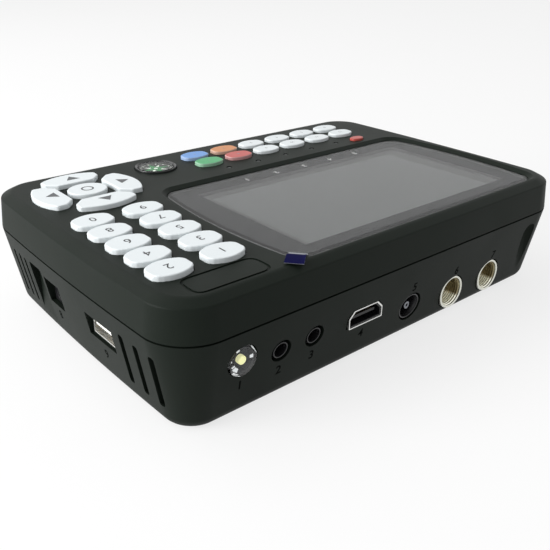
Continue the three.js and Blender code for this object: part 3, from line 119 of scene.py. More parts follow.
table_half = 2.0
table_drop = 0.05 * mm
table_white_share = 0.75
table_mesh = bpy.data.meshes.new("table")
table_mesh.from_pydata(
    [(-table_half, -table_half, 0), (table_half, -table_half, 0),
     (table_half, table_half, 0), (-table_half, table_half, 0)],
    [], [(0, 1, 2, 3)],
)
table = bpy.data.objects.new("table", table_mesh)
table.location.z = -table_drop
scene.collection.objects.link(table)
table_paint = bpy.data.materials.new("table_paint")
table_paint.use_nodes = True
table_shader = table_paint.node_tree.nodes["Principled BSDF"]
table_shader.inputs["Base Color"].default_value = (0.86, 0.86, 0.86, 1)
table_shader.inputs["Roughness"].default_value = 0.9
table_shader.inputs["Specular IOR Level"].default_value = 0.1
table_glow = table_paint.node_tree.nodes.new("ShaderNodeEmission")
table_out = table_paint.node_tree.nodes["Material Output"]
see_white(table_paint, table_shader.outputs[0], table_out.inputs["Surface"], table_glow.outputs[0],
          table_white_share)
table_mesh.materials.append(table_paint)


def soft_box(name, place, aim, width, height, watts):
    """A plain rectangular studio light, turned to face one point."""
    light = bpy.data.lights.new(name, "AREA")
    light.shape = "RECTANGLE"
    light.size = width
    light.size_y = height
    light.energy = watts
    lamp = bpy.data.objects.new(name, light)
    lamp.location = place
    lamp.rotation_mode = "QUATERNION"
    lamp.rotation_quaternion = (Vector(aim) - Vector(place)).to_track_quat("-Z", "Y")
    scene.collection.objects.link(lamp)


soft_box("key_row_box", place=(0.35, -0.6, 0.85), aim=(0, 0, 0.02), width=1.0, height=0.7, watts=3.5)
soft_box("keypad_side_box", place=(0.95, -0.25, 0.35), aim=(0.05, 0, 0.02), width=0.6, height=0.5, watts=12)


# Rear case shell
# The deep lower half, injection moulded in charcoal ABS with a fine spark-eroded grain.
# Its walls lean out to the parting line, and it is cut for sockets, vents and screws.
case_half_length = 91.0 * mm
case_half_width = 61.3 * mm
case_top = 42.6 * mm
parting_height = 30.5 * mm
parting_gap = 0.6 * mm
corner_radius = 14.6 * mm
end_bow = 1.6 * mm
crest_height = 40.9 * mm
crest_inset = 1.05 * mm
base_inset = 5.25 * mm
base_round = 4 * mm
wall = 2.4 * mm
floor_thickness = 2.2 * mm
overrun = 3 * mm
hair = 0.3 * mm
corner_steps = 20
side_steps = 12
base_steps = 8


def rounded_ring(half_x, half_y, radius, height):
    """A level rounded outline, with points along its sides too."""
    ring = []
    for quarter, (side_x, side_y) in enumerate([(1, 1), (-1, 1), (-1, -1), (1, -1)]):
        for step in range(corner_steps + 1):
            angle = (quarter + step / corner_steps) * math.pi / 2
            x = side_x * (half_x - radius) + radius * math.cos(angle)
            y = side_y * (half_y - radius) + radius * math.sin(angle)
            ring.append(Vector((x, y, height)))
        for step in range(1, side_steps):
            share = 1 - 2 * step / side_steps
            if side_x == side_y:
                ring.append(Vector((side_x * share * (half_x - radius), side_y * half_y, height)))
            else:
                ring.append(Vector((side_x * half_x, side_y * share * (half_y - radius), height)))
    return ring


def case_ring(height, inset):
    """The case's outline at one height, drawn in by an inset, its ends gently bowed."""
    radius = max(corner_radius - inset, wall)
    ring = rounded_ring(case_half_length - inset, case_half_width - inset, radius, height)
    for point in ring:
        point.x *= 1 - end_bow / case_half_length * (point.y / case_half_width) ** 2
    return ring


def lower_inset(height):
    """How far the rear shell's wall stands in from the parting line at a height."""
    return base_inset * (parting_height - height) / parting_height


def upper_inset(height):
    """How far the front shell's wall stands in from the parting line at a height."""
    return crest_inset * (height - parting_height) / (crest_height - parting_height)


def edge_face(height):
    """Where the socket edge's sloped face stands at a height."""
    return case_half_width - lower_inset(height)


def side_face(y, height):
    """Where the keypad side's sloped, bowed face stands."""
    bow = 1 - end_bow / case_half_length * (y / case_half_width) ** 2
    return (case_half_length - lower_inset(height)) * bow


def ring_mesh(name, rings, ended=True):
    """Skins a stack of closed rings with as many points each, and closes its ends."""
    count = len(rings[0])
    last = (len(rings) - 1) * count
    faces = [tuple(range(count))[::-1]] if ended else []
    for level in range(len(rings) - 1):
        for index in range(count):
            here = level * count + index
            beside = level * count + (index + 1) % count
            faces.append((here, beside, beside + count, here + count))
    if ended:
        faces.append(tuple(range(last, last + count)))
    mesh = bpy.data.meshes.new(name)
    mesh.from_pydata([tuple(point) for ring in rings for point in ring], [], faces)
    tidy = bmesh.new()
    tidy.from_mesh(mesh)
    bmesh.ops.remove_doubles(tidy, verts=tidy.verts, dist=1e-7)
    bmesh.ops.recalc_face_normals(tidy, faces=tidy.faces)
    tidy.to_mesh(mesh)
    tidy.free()
    return mesh


def prism_mesh(name, outline, low, high, axis="Z"):
    """A flat outline raised along X, Y or Z. Along X the outline is (y, z), along Y (x, z)."""
    def place(point, depth):
        if axis == "X":
            return Vector((depth, point[0], point[1]))
        if axis == "Y":
            return Vector((point[0], depth, point[1]))
        return Vector((point[0], point[1], depth))
    return ring_mesh(name, [[place(p, low) for p in outline], [place(p, high) for p in outline]])


def turned_mesh(name, profile, centre, axis="Z", steps=48):
    """A profile of (radius, depth) pairs spun about an axis; a closed one gives a hollow ring."""
    rings = []
    for radius, depth in profile:
        ring = []
        for step in range(steps):
            angle = 2 * math.pi * step / steps
            a = radius * math.cos(angle)
            b = radius * math.sin(angle)
            if axis == "Z":
                ring.append(Vector((centre[0] + a, centre[1] + b, depth)))
            elif axis == "Y":
                ring.append(Vector((centre[0] + a, depth, centre[1] + b)))
            else:
                ring.append(Vector((depth, centre[0] + a, centre[1] + b)))
        rings.append(ring)
    return ring_mesh(name, rings, ended=profile[0] != profile[-1])


def box_outline(x, y, length, width):
    """The four corners of a flat box, counter-clockwise."""
    return [
        (x - length / 2, y - width / 2), (x + length / 2, y - width / 2),
        (x + length / 2, y + width / 2), (x - length / 2, y + width / 2),
    ]


def round_outline(x, y, radius, steps=40):
    """A circle as an outline."""
    turns = [2 * math.pi * step / steps for step in range(steps)]
    return [(x + radius * math.cos(turn), y + radius * math.sin(turn)) for turn in turns]


def filleted(outline, radius, steps=5):
    """Rounds each corner of an outline; a corner with short edges gets a smaller round."""
    nearly_straight = 0.02
    most_of_an_edge = 2.05
    rounded = []
    count = len(outline)
    for index in range(count):
        before = Vector(outline[index - 1][:2])
        corner = Vector(outline[index][:2])
        after = Vector(outline[(index + 1) % count][:2])
        reach_in = (before - corner).length
        reach_out = (after - corner).length
        into = (before - corner) / reach_in
        away = (after - corner) / reach_out
        opening = into.angle(away)
        if opening > math.pi - nearly_straight:
            rounded.append(tuple(corner))
            continue
        tangent = min(radius / math.tan(opening / 2), reach_in / most_of_an_edge, reach_out / most_of_an_edge)
        start = corner + into * tangent
        end = corner + away * tangent
        for step in range(steps + 1):
            t = step / steps
            point = start * (1 - t) ** 2 + corner * 2 * t * (1 - t) + end * t ** 2
            rounded.append(tuple(point))
    return rounded


def plain_object(name, mesh):
    """An object at the origin that holds one mesh."""
    made = bpy.data.objects.new(name, mesh)
    scene.collection.objects.link(made)
    return made


def joined_mesh(name, meshes):
    """Puts several separate meshes into one."""
    whole = bmesh.new()
    for mesh in meshes:
        whole.from_mesh(mesh)
        bpy.data.meshes.remove(mesh)
    mesh = bpy.data.meshes.new(name)
    whole.to_mesh(mesh)
    whole.free()
    return mesh


def carved(mesh, cutters, bevel=0):
    """Cuts each cutter from a mesh, then breaks the sharp edges a little."""
    body = plain_object("blank", mesh)
    tools = [plain_object("tool", cutter) for cutter in cutters]
    for tool in tools:
        cut = body.modifiers.new("cut", "BOOLEAN")
        cut.operation = "DIFFERENCE"
        cut.solver = "EXACT"
        cut.object = tool
    if bevel:
        edge = body.modifiers.new("edge", "BEVEL")
        edge.width = bevel
        edge.segments = 2
        edge.limit_method = "ANGLE"
        edge.angle_limit = math.radians(50)
        edge.use_clamp_overlap = True
    graph = bpy.context.evaluated_depsgraph_get()
    result = bpy.data.meshes.new_from_object(body.evaluated_get(graph))
    for made in [body] + tools:
        old = made.data
        bpy.data.objects.remove(made)
        bpy.data.meshes.remove(old)
    return result


def finished(name, mesh, material, body="case", crease=32, weighted=True):
    """A named piece in its material, smooth but for its creases, riding on its body."""
    mesh.name = name
    mesh.materials.clear()
    mesh.materials.append(material)
    mesh.shade_smooth()
    mesh.set_sharp_from_angle(angle=math.radians(crease))
    piece = plain_object(name, mesh)
    if weighted:
        lean = piece.modifiers.new("lean", "WEIGHTED_NORMAL")
        lean.keep_sharp = True
        graph = bpy.context.evaluated_depsgraph_get()
        result = bpy.data.meshes.new_from_object(piece.evaluated_get(graph))
        piece.modifiers.clear()
        piece.data = result
        bpy.data.meshes.remove(mesh)
        result.name = name
    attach(piece, body)
    return piece


def moulded_plastic(name, colour, roughness, grain=0.28 * mm, depth=0.02 * mm, patch=0.12):
    """Moulded plastic: a fine eroded grain, and a faint change of tone and gloss over it."""
    material = bpy.data.materials.new(name)
    material.use_nodes = True
    patch_size = 18 * mm
    gloss_swing = 0.06
    tree = material.node_tree
    shader = tree.nodes["Principled BSDF"]
    place = tree.nodes.new("ShaderNodeTexCoord")
    fine = tree.nodes.new("ShaderNodeTexNoise")
    fine.inputs["Scale"].default_value = 1 / grain
    fine.inputs["Detail"].default_value = 3
    tree.links.new(place.outputs["Object"], fine.inputs["Vector"])
    broad = tree.nodes.new("ShaderNodeTexNoise")
    broad.inputs["Scale"].default_value = 1 / patch_size
    broad.inputs["Detail"].default_value = 4
    tree.links.new(place.outputs["Object"], broad.inputs["Vector"])
    tone = tree.nodes.new("ShaderNodeMix")
    tone.data_type = "RGBA"
    tone.inputs[6].default_value = (*[c * (1 - patch) for c in colour], 1)
    tone.inputs[7].default_value = (*[min(1, c * (1 + patch)) for c in colour], 1)
    blend = tree.nodes.new("ShaderNodeMath")
    blend.operation = "MULTIPLY_ADD"
    blend.inputs[1].default_value = 0.5
    tree.links.new(fine.outputs[0], blend.inputs[0])
    half = tree.nodes.new("ShaderNodeMath")
    half.operation = "MULTIPLY"
    half.inputs[1].default_value = 0.5
    tree.links.new(broad.outputs[0], half.inputs[0])
    tree.links.new(half.outputs[0], blend.inputs[2])
    tree.links.new(blend.outputs[0], tone.inputs[0])
    tree.links.new(tone.outputs[2], shader.inputs["Base Color"])
    gloss = tree.nodes.new("ShaderNodeMapRange")
    gloss.inputs["To Min"].default_value = roughness - gloss_swing
    gloss.inputs["To Max"].default_value = roughness + gloss_swing
    tree.links.new(broad.outputs[0], gloss.inputs["Value"])
    tree.links.new(gloss.outputs[0], shader.inputs["Roughness"])
    bump = tree.nodes.new("ShaderNodeBump")
    bump.inputs["Strength"].default_value = 1
    bump.inputs["Distance"].default_value = depth
    tree.links.new(fine.outputs[0], bump.inputs["Height"])
    tree.links.new(bump.outputs[0], shader.inputs["Normal"])
    return material


def tuned(material, **settings):
    """Sets a material's shader sockets by their labels, with _ for a space."""
    sockets = material.node_tree.nodes["Principled BSDF"].inputs
    for label, value in settings.items():
        sockets[label.replace("_", " ")].default_value = value
    return material


case_plastic = tuned(moulded_plastic("case_plastic", (0.0070, 0.0103, 0.0075), 0.5), Specular_IOR_Level=0.09)

lamp_centre = (67.2 * mm, 20.5 * mm)
lamp_radius = 4.8 * mm
audio_centres = [(39.9 * mm, 17.8 * mm), (52.9 * mm, 17.8 * mm)]
audio_radius = 3.4 * mm
video_centre = (18.1 * mm, 17.6 * mm)
video_size = (15.1 * mm, 6 * mm)
video_chamfer = 2.2 * mm
power_out_centre = (-5.5 * mm, 11.9 * mm)
power_out_radius = 5.1 * mm
signal_centres = [(-28.75 * mm, 10 * mm), (-51 * mm, 10 * mm)]
signal_radius = 6.2 * mm
power_in_centre = (-12.2 * mm, 18.8 * mm)
power_in_size = (10.4 * mm, 8.6 * mm)
data_centre = (19 * mm, 18.7 * mm)
data_size = (13.2 * mm, 5.8 * mm)
data_recess = (16 * mm, 7.8 * mm)
data_recess_depth = 1.6 * mm
vent_height = 17 * mm
vent_centre = 15.9 * mm
vent_round_share = 0.47
vent_rows = [(40.2 * mm, 7.6 * mm, 2.5 * mm), (-38 * mm, 4.8 * mm, 1.7 * mm)]
groove_radius = 3.8 * mm
groove_depth = 3.4 * mm
groove_top = 26.2 * mm
groove_wall = 1.8 * mm
edge_groove = (-72.4 * mm, edge_face(groove_top) - groove_depth + groove_radius)
notch_y = -24 * mm
notch_length = 9.4 * mm
notch_top = 25 * mm
notch_depth = 3.2 * mm
notch_round = 1.4 * mm
notch_floor = side_face(notch_y, notch_top) - notch_depth
screw_reach_x = 74.5 * mm
screw_reach_y = 46.5 * mm
screw_centres = [(x * screw_reach_x, y * screw_reach_y) for x, y in [(1, 1), (-1, 1), (-1, -1), (1, -1)]]
screw_head_radius = 2.6 * mm
screw_sink = 2.6 * mm


def groove_mesh(centre, radius, top):
    """An upright finger groove with a domed top."""
    dome_steps = 8
    profile = [(0, -overrun), (radius, -overrun), (radius, top - radius)]
    for step in range(1, dome_steps + 1):
        angle = step / dome_steps * math.pi / 2
        profile.append((radius * math.cos(angle), top - radius + radius * math.sin(angle)))
    return turned_mesh("groove", profile, centre)


def notch_mesh(grow):
    """The flat-floored notch in the keypad side, open at the foot."""
    high = notch_top + grow
    outline = box_outline(notch_y, (high - overrun) / 2, notch_length + 2 * grow, high + overrun)
    outline = filleted(outline, notch_round + grow, 6)
    return prism_mesh("notch", outline, notch_floor - grow, side_outside, "X")


def video_outline(grow):
    """The video socket's outline, its two upper corners cut, let out by a margin."""
    x, z = video_centre
    half = video_size[0] / 2 + grow
    low = z - video_size[1] / 2 - grow
    high = z + video_size[1] / 2 + grow
    return [
        (x - half, low), (x + half, low), (x + half, high - video_chamfer),
        (x + half - video_chamfer, high), (x - half + video_chamfer, high), (x - half, high - video_chamfer),
    ]


rear_rings = []
for step in range(base_steps + 1):
    angle = step / base_steps * math.pi / 2
    height = base_round * (1 - math.cos(angle))
    rear_rings.append(case_ring(height, lower_inset(height) + base_round * (1 - math.sin(angle))))
rear_top = parting_height - parting_gap / 2
rear_rings.append(case_ring(rear_top, lower_inset(rear_top)))
cavity_low = floor_thickness + base_round / 2
rear_cavity = ring_mesh("cavity", [
    case_ring(floor_thickness, lower_inset(floor_thickness) + wall + base_round / 2),
    case_ring(cavity_low, lower_inset(cavity_low) + wall),
    case_ring(parting_height, wall),
    case_ring(parting_height + overrun, wall),
])
side_inside = case_half_length - base_inset - end_bow - wall - overrun
side_outside = case_half_length + overrun
rear_cavity = carved(rear_cavity, [joined_mesh("backing", [
    groove_mesh(edge_groove, groove_radius + groove_wall, groove_top + groove_wall), notch_mesh(groove_wall),
])])

edge_inside = case_half_width - base_inset - wall - overrun
edge_outside = case_half_width + overrun
edge_cuts = [prism_mesh("hole", video_outline(hair), edge_inside, edge_outside, "Y")]
round_holes = [(lamp_centre, lamp_radius), (power_out_centre, power_out_radius)]
round_holes += [(centre, audio_radius) for centre in audio_centres]
round_holes += [(centre, signal_radius) for centre in signal_centres]
for centre, radius in round_holes:
    hole = round_outline(*centre, radius + hair)
    edge_cuts.append(prism_mesh("hole", hole, edge_inside, edge_outside, "Y"))
side_cuts = [prism_mesh("hole", box_outline(*centre, size[0] + 2 * hair, size[1] + 2 * hair),
                        side_inside, side_outside, "X")
             for centre, size in [(power_in_centre, power_in_size), (data_centre, data_size)]]
for row_centre, pitch, width in vent_rows:
    for place in (-1, 0, 1):
        slot = box_outline(row_centre + place * pitch, vent_centre, width, vent_height)
        slot = filleted(slot, width * vent_round_share, 5)
        side_cuts.append(prism_mesh("vent", slot, side_inside, side_outside, "X"))
screw_cuts = [turned_mesh("sink", [(0, -overrun), (screw_head_radius + hair, -overrun),
                                   (screw_head_radius + hair, screw_sink), (0, screw_sink)], centre, steps=32)
              for centre in screw_centres]
groove_cuts = [groove_mesh(edge_groove, groove_radius, groove_top), notch_mesh(0)]
recess_front = side_face(data_centre[0], data_centre[1]) - data_recess_depth
recess = prism_mesh("recess", box_outline(*data_centre, *data_recess), recess_front, side_outside, "X")

rear_mesh = carved(ring_mesh("rear", rear_rings), [rear_cavity])
rear_mesh = carved(rear_mesh, [joined_mesh("cuts", edge_cuts + side_cuts + screw_cuts + groove_cuts), recess])
rear_shell = finished("rear_shell", rear_mesh, case_plastic)
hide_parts("rear_housing")


# Front case shell
# The shallow upper half in the same charcoal plastic. A sloped band runs up from the
# crest to the flat panel, which is cut for the keys, the screen, the compass and the lights.
panel_thickness = 2.2 * mm
bevel_width = 3.5 * mm
band_round = 0.9 * mm
crest_round = 0.45 * mm
crest_step = 0.05 * mm
panel_under = case_top - panel_thickness
key_clearance = 0.3 * mm


def spread(outline, grow):
    """Moves an outline outwards along its own normals."""
    moved = []
    count = len(outline)
    for index in range(count):
        along = Vector(outline[(index + 1) % count]) - Vector(outline[index - 1])
        out = Vector((along.y, -along.x)).normalized()
        moved.append(tuple(Vector(outline[index]) + out * grow))
    return moved


corner_length = 0.16
corner_width = 0.75


def barrel_outline(length, width, end):
    """A key whose long edges bulge, whose short ends are straight and whose corners are cut."""
    outline = []
    steps = 8
    for side in (1, -1):
        outline.append((side * length / 2, side * end / 2 * corner_width))
        for step in range(steps + 1):
            share = (1 - corner_length) * (1 - 2 * step / steps)
            half = end / 2 + (width - end) / 2 * (1 - share * share)
            outline.append((side * share * length / 2, side * half))
        outline.append((-side * length / 2, side * end / 2 * corner_width))
    return outline


def oval_outline(length, width):
    """An ellipse about its own centre."""
    steps = 48
    turns = [2 * math.pi * step / steps for step in range(steps)]
    return [(length / 2 * math.cos(turn), width / 2 * math.sin(turn)) for turn in turns]


arrow_centre = (64.2 * mm, -32.5 * mm)
arrow_radius = 18.9 * mm
arrow_inner = 8.7 * mm
arrow_corner_radius = 16 * mm
arrow_half_gap = 1.4 * mm
arrow_arc = math.radians(34)
arrow_stem_radius = 13.6 * mm
arrow_round = 1.5 * mm
arrow_arc_steps = 12


def arrow_outline(angle):
    """One quarter of the arrow ring, about its own centre."""
    shift = math.sqrt(2) * arrow_half_gap
    reach = math.sqrt(arrow_corner_radius ** 2 - shift ** 2 / 2) / math.sqrt(2)
    inner_corner = (arrow_inner, arrow_inner - shift)
    outer_corner = (reach + shift / 2, reach - shift / 2)
    outline = [(inner_corner[0], -inner_corner[1]), (outer_corner[0], -outer_corner[1])]
    for step in range(arrow_arc_steps + 1):
        bend = arrow_arc * (2 * step / arrow_arc_steps - 1)
        outline.append((arrow_radius * math.cos(bend), arrow_radius * math.sin(bend)))
    outline += [outer_corner, inner_corner]
    centred = [(x - arrow_stem_radius, y) for x, y in outline]
    turned = [Vector(point) for point in filleted(centred, arrow_round, 5)]
    for point in turned:
        point.rotate(Matrix.Rotation(angle, 2))
    return [tuple(point) for point in turned]


digit_outline = filleted(barrel_outline(length=13.2 * mm, width=10.3 * mm, end=5.4 * mm), 2.2 * mm, 5)
function_outline = filleted(barrel_outline(length=11.5 * mm, width=8.2 * mm, end=4.4 * mm), 1.8 * mm, 5)
power_outline = filleted(barrel_outline(length=6.6 * mm, width=4.4 * mm, end=2.3 * mm), 1.1 * mm, 5)
ok_outline = oval_outline(length=14 * mm, width=12.3 * mm)
digit_first = (58.7 * mm, 39.4 * mm)
digit_pitch = (17.8 * mm, 10.95 * mm)
function_first = (10.2 * mm, -45.6 * mm)
function_pitch = (14.7 * mm, 10.2 * mm)
power_centre = (-63.3 * mm, -24.8 * mm)

key_plan = {}
for row in range(5):
    for column in range(2):
        digit = (row * 2 + column + 1) % 10
        centre = (digit_first[0] + column * digit_pitch[0], digit_first[1] - row * digit_pitch[1])
        key_plan[f"digit_key_{digit}"] = (centre, digit_outline, "white", str(digit))
function_tints = {1: "blue", 2: "orange", 7: "green", 8: "red"}
for row in range(2):
    for column in range(6):
        number = row * 6 + column + 1
        centre = (function_first[0] - column * function_pitch[0], function_first[1] + row * function_pitch[1])
        tint = function_tints.get(number, "white")
        key_plan[f"function_key_{number}"] = (centre, function_outline, tint, str(number))
key_plan["power_key"] = (power_centre, power_outline, "red", None)
key_plan["ok_key"] = (arrow_centre, ok_outline, "white", None)
for quarter, side in enumerate(("right", "up", "left", "down")):
    angle = quarter * math.pi / 2
    centre = (arrow_centre[0] + arrow_stem_radius * math.cos(angle),
              arrow_centre[1] + arrow_stem_radius * math.sin(angle))
    key_plan[f"arrow_key_{side}"] = (centre, arrow_outline(angle), "white", angle)

glass_low, glass_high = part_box("screen_glass")
glass_centre = ((glass_low.x + glass_high.x) / 2, (glass_low.y + glass_high.y) / 2)
glass_length = glass_high.x - glass_low.x
glass_width = glass_high.y - glass_low.y
glass_radius = 5 * mm
glass_bow = 3.1 * mm
bezel_width = 2.2 * mm
display_low, display_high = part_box("display_module")
compass_centre = (30.1 * mm, -43.1 * mm)
compass_radius = 8 * mm
light_first = (7 * mm, -26.3 * mm)
light_places = [(light_first[0] - index * function_pitch[0], light_first[1]) for index in range(5)]
light_radius = 1 * mm
light_clearance = 0.1 * mm
plate_centre = (65.6 * mm, 50.6 * mm)
plate_size = (26 * mm, 10.4 * mm)
plate_round = 4 * mm
plate_groove = 0.9 * mm
plate_groove_depth = 0.35 * mm


def glass_ring(height, grow):
    """The screen glass's outline at one height, let out by a margin, its short ends bowed."""
    half_x = glass_length / 2
    half_y = glass_width / 2
    ring = rounded_ring(half_x + grow, half_y + grow, glass_radius + grow, height)
    for point in ring:
        point.x *= 1 - glass_bow / half_x * (point.y / half_y) ** 2
        point.x += glass_centre[0]
        point.y += glass_centre[1]
    return ring


def corner_outline(low, high):
    """The four corners of a flat box between two far corners, counter-clockwise."""
    return [(low[0], low[1]), (high[0], low[1]), (high[0], high[1]), (low[0], high[1])]


def bent(start, middle, end, t):
    """A point on the curve that leaves start for middle and arrives at end from it."""
    return [a * (1 - t) ** 2 + b * 2 * t * (1 - t) + c * t ** 2 for a, b, c in zip(start, middle, end)]


front_rings = []
front_low = parting_height + parting_gap / 2
front_rings.append(case_ring(front_low, upper_inset(front_low)))
front_rings.append(case_ring(crest_height - crest_round, upper_inset(crest_height - crest_round)))
band_slope = math.atan2(case_top - crest_height, bevel_width)
crest_start = (crest_inset - crest_step, crest_height - crest_round)
crest_end = (crest_inset + crest_round * math.cos(band_slope),
             crest_height + crest_round * math.sin(band_slope))
for step in range(1, 5):
    inset, height = bent(crest_start, (crest_inset, crest_height), crest_end, step / 4)
    front_rings.append(case_ring(height, inset))
top_inset = crest_inset + bevel_width
band_start = (top_inset - band_round * math.cos(band_slope), case_top - band_round * math.sin(band_slope))
for step in range(7):
    inset, height = bent(band_start, (top_inset, case_top), (top_inset + band_round, case_top), step / 6)
    front_rings.append(case_ring(height, inset))

shoulder = panel_under - wall / 2
front_cavity = ring_mesh("cavity", [
    case_ring(parting_height - overrun, wall),
    case_ring(shoulder, upper_inset(shoulder) + wall),
    case_ring(panel_under, crest_inset + wall * 1.5),
])
glass_ledge = 1 * mm
glass_margin = 3 * mm
ledge_under = glass_low.z - 2 * hair - glass_ledge
frame_outline = box_outline(*glass_centre, glass_length + glass_margin, glass_width + glass_margin)
frame_block = prism_mesh("frame", frame_outline, ledge_under, case_top)
front_cavity = carved(front_cavity, [frame_block])
front_mesh = carved(ring_mesh("front", front_rings), [front_cavity])

panel_cuts = []
for centre, outline, tint, mark in key_plan.values():
    hole = [(centre[0] + x, centre[1] + y) for x, y in spread(outline, key_clearance)]
    panel_cuts.append(prism_mesh("key_hole", hole, panel_under - overrun, case_top + overrun))
compass_hole = round_outline(*compass_centre, compass_radius + hair, 64)
panel_cuts.append(prism_mesh("compass_hole", compass_hole, panel_under - overrun, case_top + overrun))
for place in light_places:
    hole = round_outline(*place, light_radius + light_clearance, 20)
    panel_cuts.append(prism_mesh("light_hole", hole, panel_under - overrun, case_top + overrun))
bezel_lip = [(-0.14 * mm, -0.25 * mm), (-0.05 * mm, -0.07 * mm), (0.002 * mm, 0.14 * mm),
             (overrun, 0.14 * mm)]
seat_rings = [glass_ring(glass_low.z - hair, hair), glass_ring(glass_high.z, hair)]
seat_rings += [glass_ring(case_top + rise, bezel_width + out) for rise, out in bezel_lip]
panel_cuts.append(ring_mesh("glass_seat", seat_rings))
plate_outer = filleted(box_outline(*plate_centre, *plate_size), plate_round, 8)
plate_inner = spread(plate_outer, -plate_groove)
window = prism_mesh("window", corner_outline(display_low, display_high), ledge_under - overrun, glass_low.z)
plate_cut = carved(
    prism_mesh("plate_groove", plate_outer, case_top - plate_groove_depth, case_top + overrun),
    [prism_mesh("plate_core", plate_inner, case_top - 2 * plate_groove_depth, case_top + 2 * overrun)],
)
front_mesh = carved(front_mesh, [joined_mesh("cuts", panel_cuts), window, plate_cut])
front_shell = finished("front_shell", front_mesh, case_plastic)
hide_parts("front_housing")


# Keys
# Moulded caps in satin white, blue, orange, green and red, each on a stem over its own
# switch. Thin black and grey prints mark them: plain digits, numbers, arrows and one ring.
key_colours = {
    "white": (0.70, 0.745, 0.76),
    "blue": (0.105, 0.275, 0.62),
    "orange": (0.55, 0.20, 0.05),
    "green": (0.025, 0.33, 0.105),
    "red": (0.46, 0.05, 0.04),
}
key_plastics = {
    tint: moulded_plastic(f"key_{tint}", colour, 0.38, grain=0.5 * mm, depth=0.004 * mm, patch=0.03)
    for tint, colour in key_colours.items()
}
power_red = moulded_plastic("power_red", (0.42, 0.065, 0.05), 0.38, grain=0.5 * mm, depth=0.004 * mm,
                            patch=0.03)
# The coloured caps fade to a paler tone on their sides and edge below the flat top: a painted highlight for
# light falling on the walls.
painted_light_white = (0.60, 0.62, 0.62)
painted_light_share = 0.4
painted_light_fade_low = 0.14 * mm
painted_light_fade_high = 0.05 * mm
key_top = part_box("function_key_1")[1].z
for tint in ("blue", "orange", "green", "red"):
    tree = key_plastics[tint].node_tree
    paint = tree.nodes["Principled BSDF"].inputs["Base Color"]
    split = tree.nodes.new("ShaderNodeSeparateXYZ")
    tree.links.new(tree.nodes["Texture Coordinate"].outputs["Object"], split.inputs[0])
    climb = tree.nodes.new("ShaderNodeMapRange")
    climb.inputs["From Min"].default_value = key_top - painted_light_fade_low
    climb.inputs["From Max"].default_value = key_top - painted_light_fade_high
    tree.links.new(split.outputs["Z"], climb.inputs["Value"])
    rim = tree.nodes.new("ShaderNodeMix")
    rim.data_type = "RGBA"
    painted_light_colour = [(1 - painted_light_share) * c + painted_light_share * w for c, w in zip(key_colours[tint], painted_light_white)]
    rim.inputs[6].default_value = (*painted_light_colour, 1)
    tree.links.new(climb.outputs[0], rim.inputs[0])
    tree.links.new(paint.links[0].from_socket, rim.inputs[7])
    tree.links.new(rim.outputs[2], paint)
key_ink = moulded_plastic("key_ink", (0.016, 0.016, 0.018), 0.5, grain=0.2 * mm, depth=0.002 * mm)
faint_ink = moulded_plastic("faint_ink", (0.28, 0.28, 0.29), 0.5, grain=0.2 * mm, depth=0.002 * mm)
arrow_ink = moulded_plastic("arrow_ink", (0.07, 0.075, 0.08), 0.5, grain=0.2 * mm, depth=0.002 * mm)
key_edge = 0.4 * mm
key_flange = 0.4 * mm
key_flange_height = 0.8 * mm
key_stem_radius = 1.6 * mm
mark_depth = 0.04 * mm
digit_height = 3.3 * mm
number_height = 1.5 * mm
arrow_back = -1.8 * mm
arrow_tip = 2.1 * mm
arrow_half = 2.5 * mm
arrow_shift = (-0.6 * mm, -0.4 * mm)
ring_outer = 2.2 * mm
ring_inner = 1.65 * mm
type_size_per_height = 1.38


def lettered(name, text, height, material, centre, level, body, turn=None, thickness=0.01 * mm, bold=0):
    """A printed mark as a thin mesh, centred on a place, lying flat or turned by a matrix."""
    curve = bpy.data.curves.new(name, "FONT")
    curve.body = text
    curve.size = height * type_size_per_height
    curve.align_x = "CENTER"
    curve.align_y = "CENTER"
    curve.extrude = thickness
    curve.offset = bold
    curve.resolution_u = 6
    words = bpy.data.objects.new(name, curve)
    scene.collection.objects.link(words)
    graph = bpy.context.evaluated_depsgraph_get()
    mesh = bpy.data.meshes.new_from_object(words.evaluated_get(graph))
    bpy.data.objects.remove(words)
    xs = [vertex.co.x for vertex in mesh.vertices]
    ys = [vertex.co.y for vertex in mesh.vertices]
    mesh.transform(Matrix.Translation((-(min(xs) + max(xs)) / 2, -(min(ys) + max(ys)) / 2, 0)))
    if turn is not None:
        mesh.transform(turn)
    mesh.transform(Matrix.Translation((centre[0], centre[1], level)))
    return finished(name, mesh, material, body, weighted=False)


def cap_mesh(name, centre, outline, low, high):
    """A key: stem, flange and a cap with a soft edge round its flat top."""
    turns = [math.atan2(y, x) for x, y in outline]
    stem = [(key_stem_radius * math.cos(t), key_stem_radius * math.sin(t)) for t in turns]
    flange = spread(outline, key_flange)

    def ring(points, height):
        return [Vector((centre[0] + x, centre[1] + y, height)) for x, y in points]

    flange_top = panel_under - hair
    flange_under = flange_top - key_flange_height
    rings = [ring(stem, low), ring(stem, flange_under), ring(flange, flange_under), ring(flange, flange_top),
             ring(outline, flange_top)]
    for step in range(6):
        angle = step / 5 * math.pi / 2
        inset = key_edge * (1 - math.cos(angle))
        rings.append(ring(spread(outline, -inset), high - key_edge * (1 - math.sin(angle))))
    return ring_mesh(name, rings)


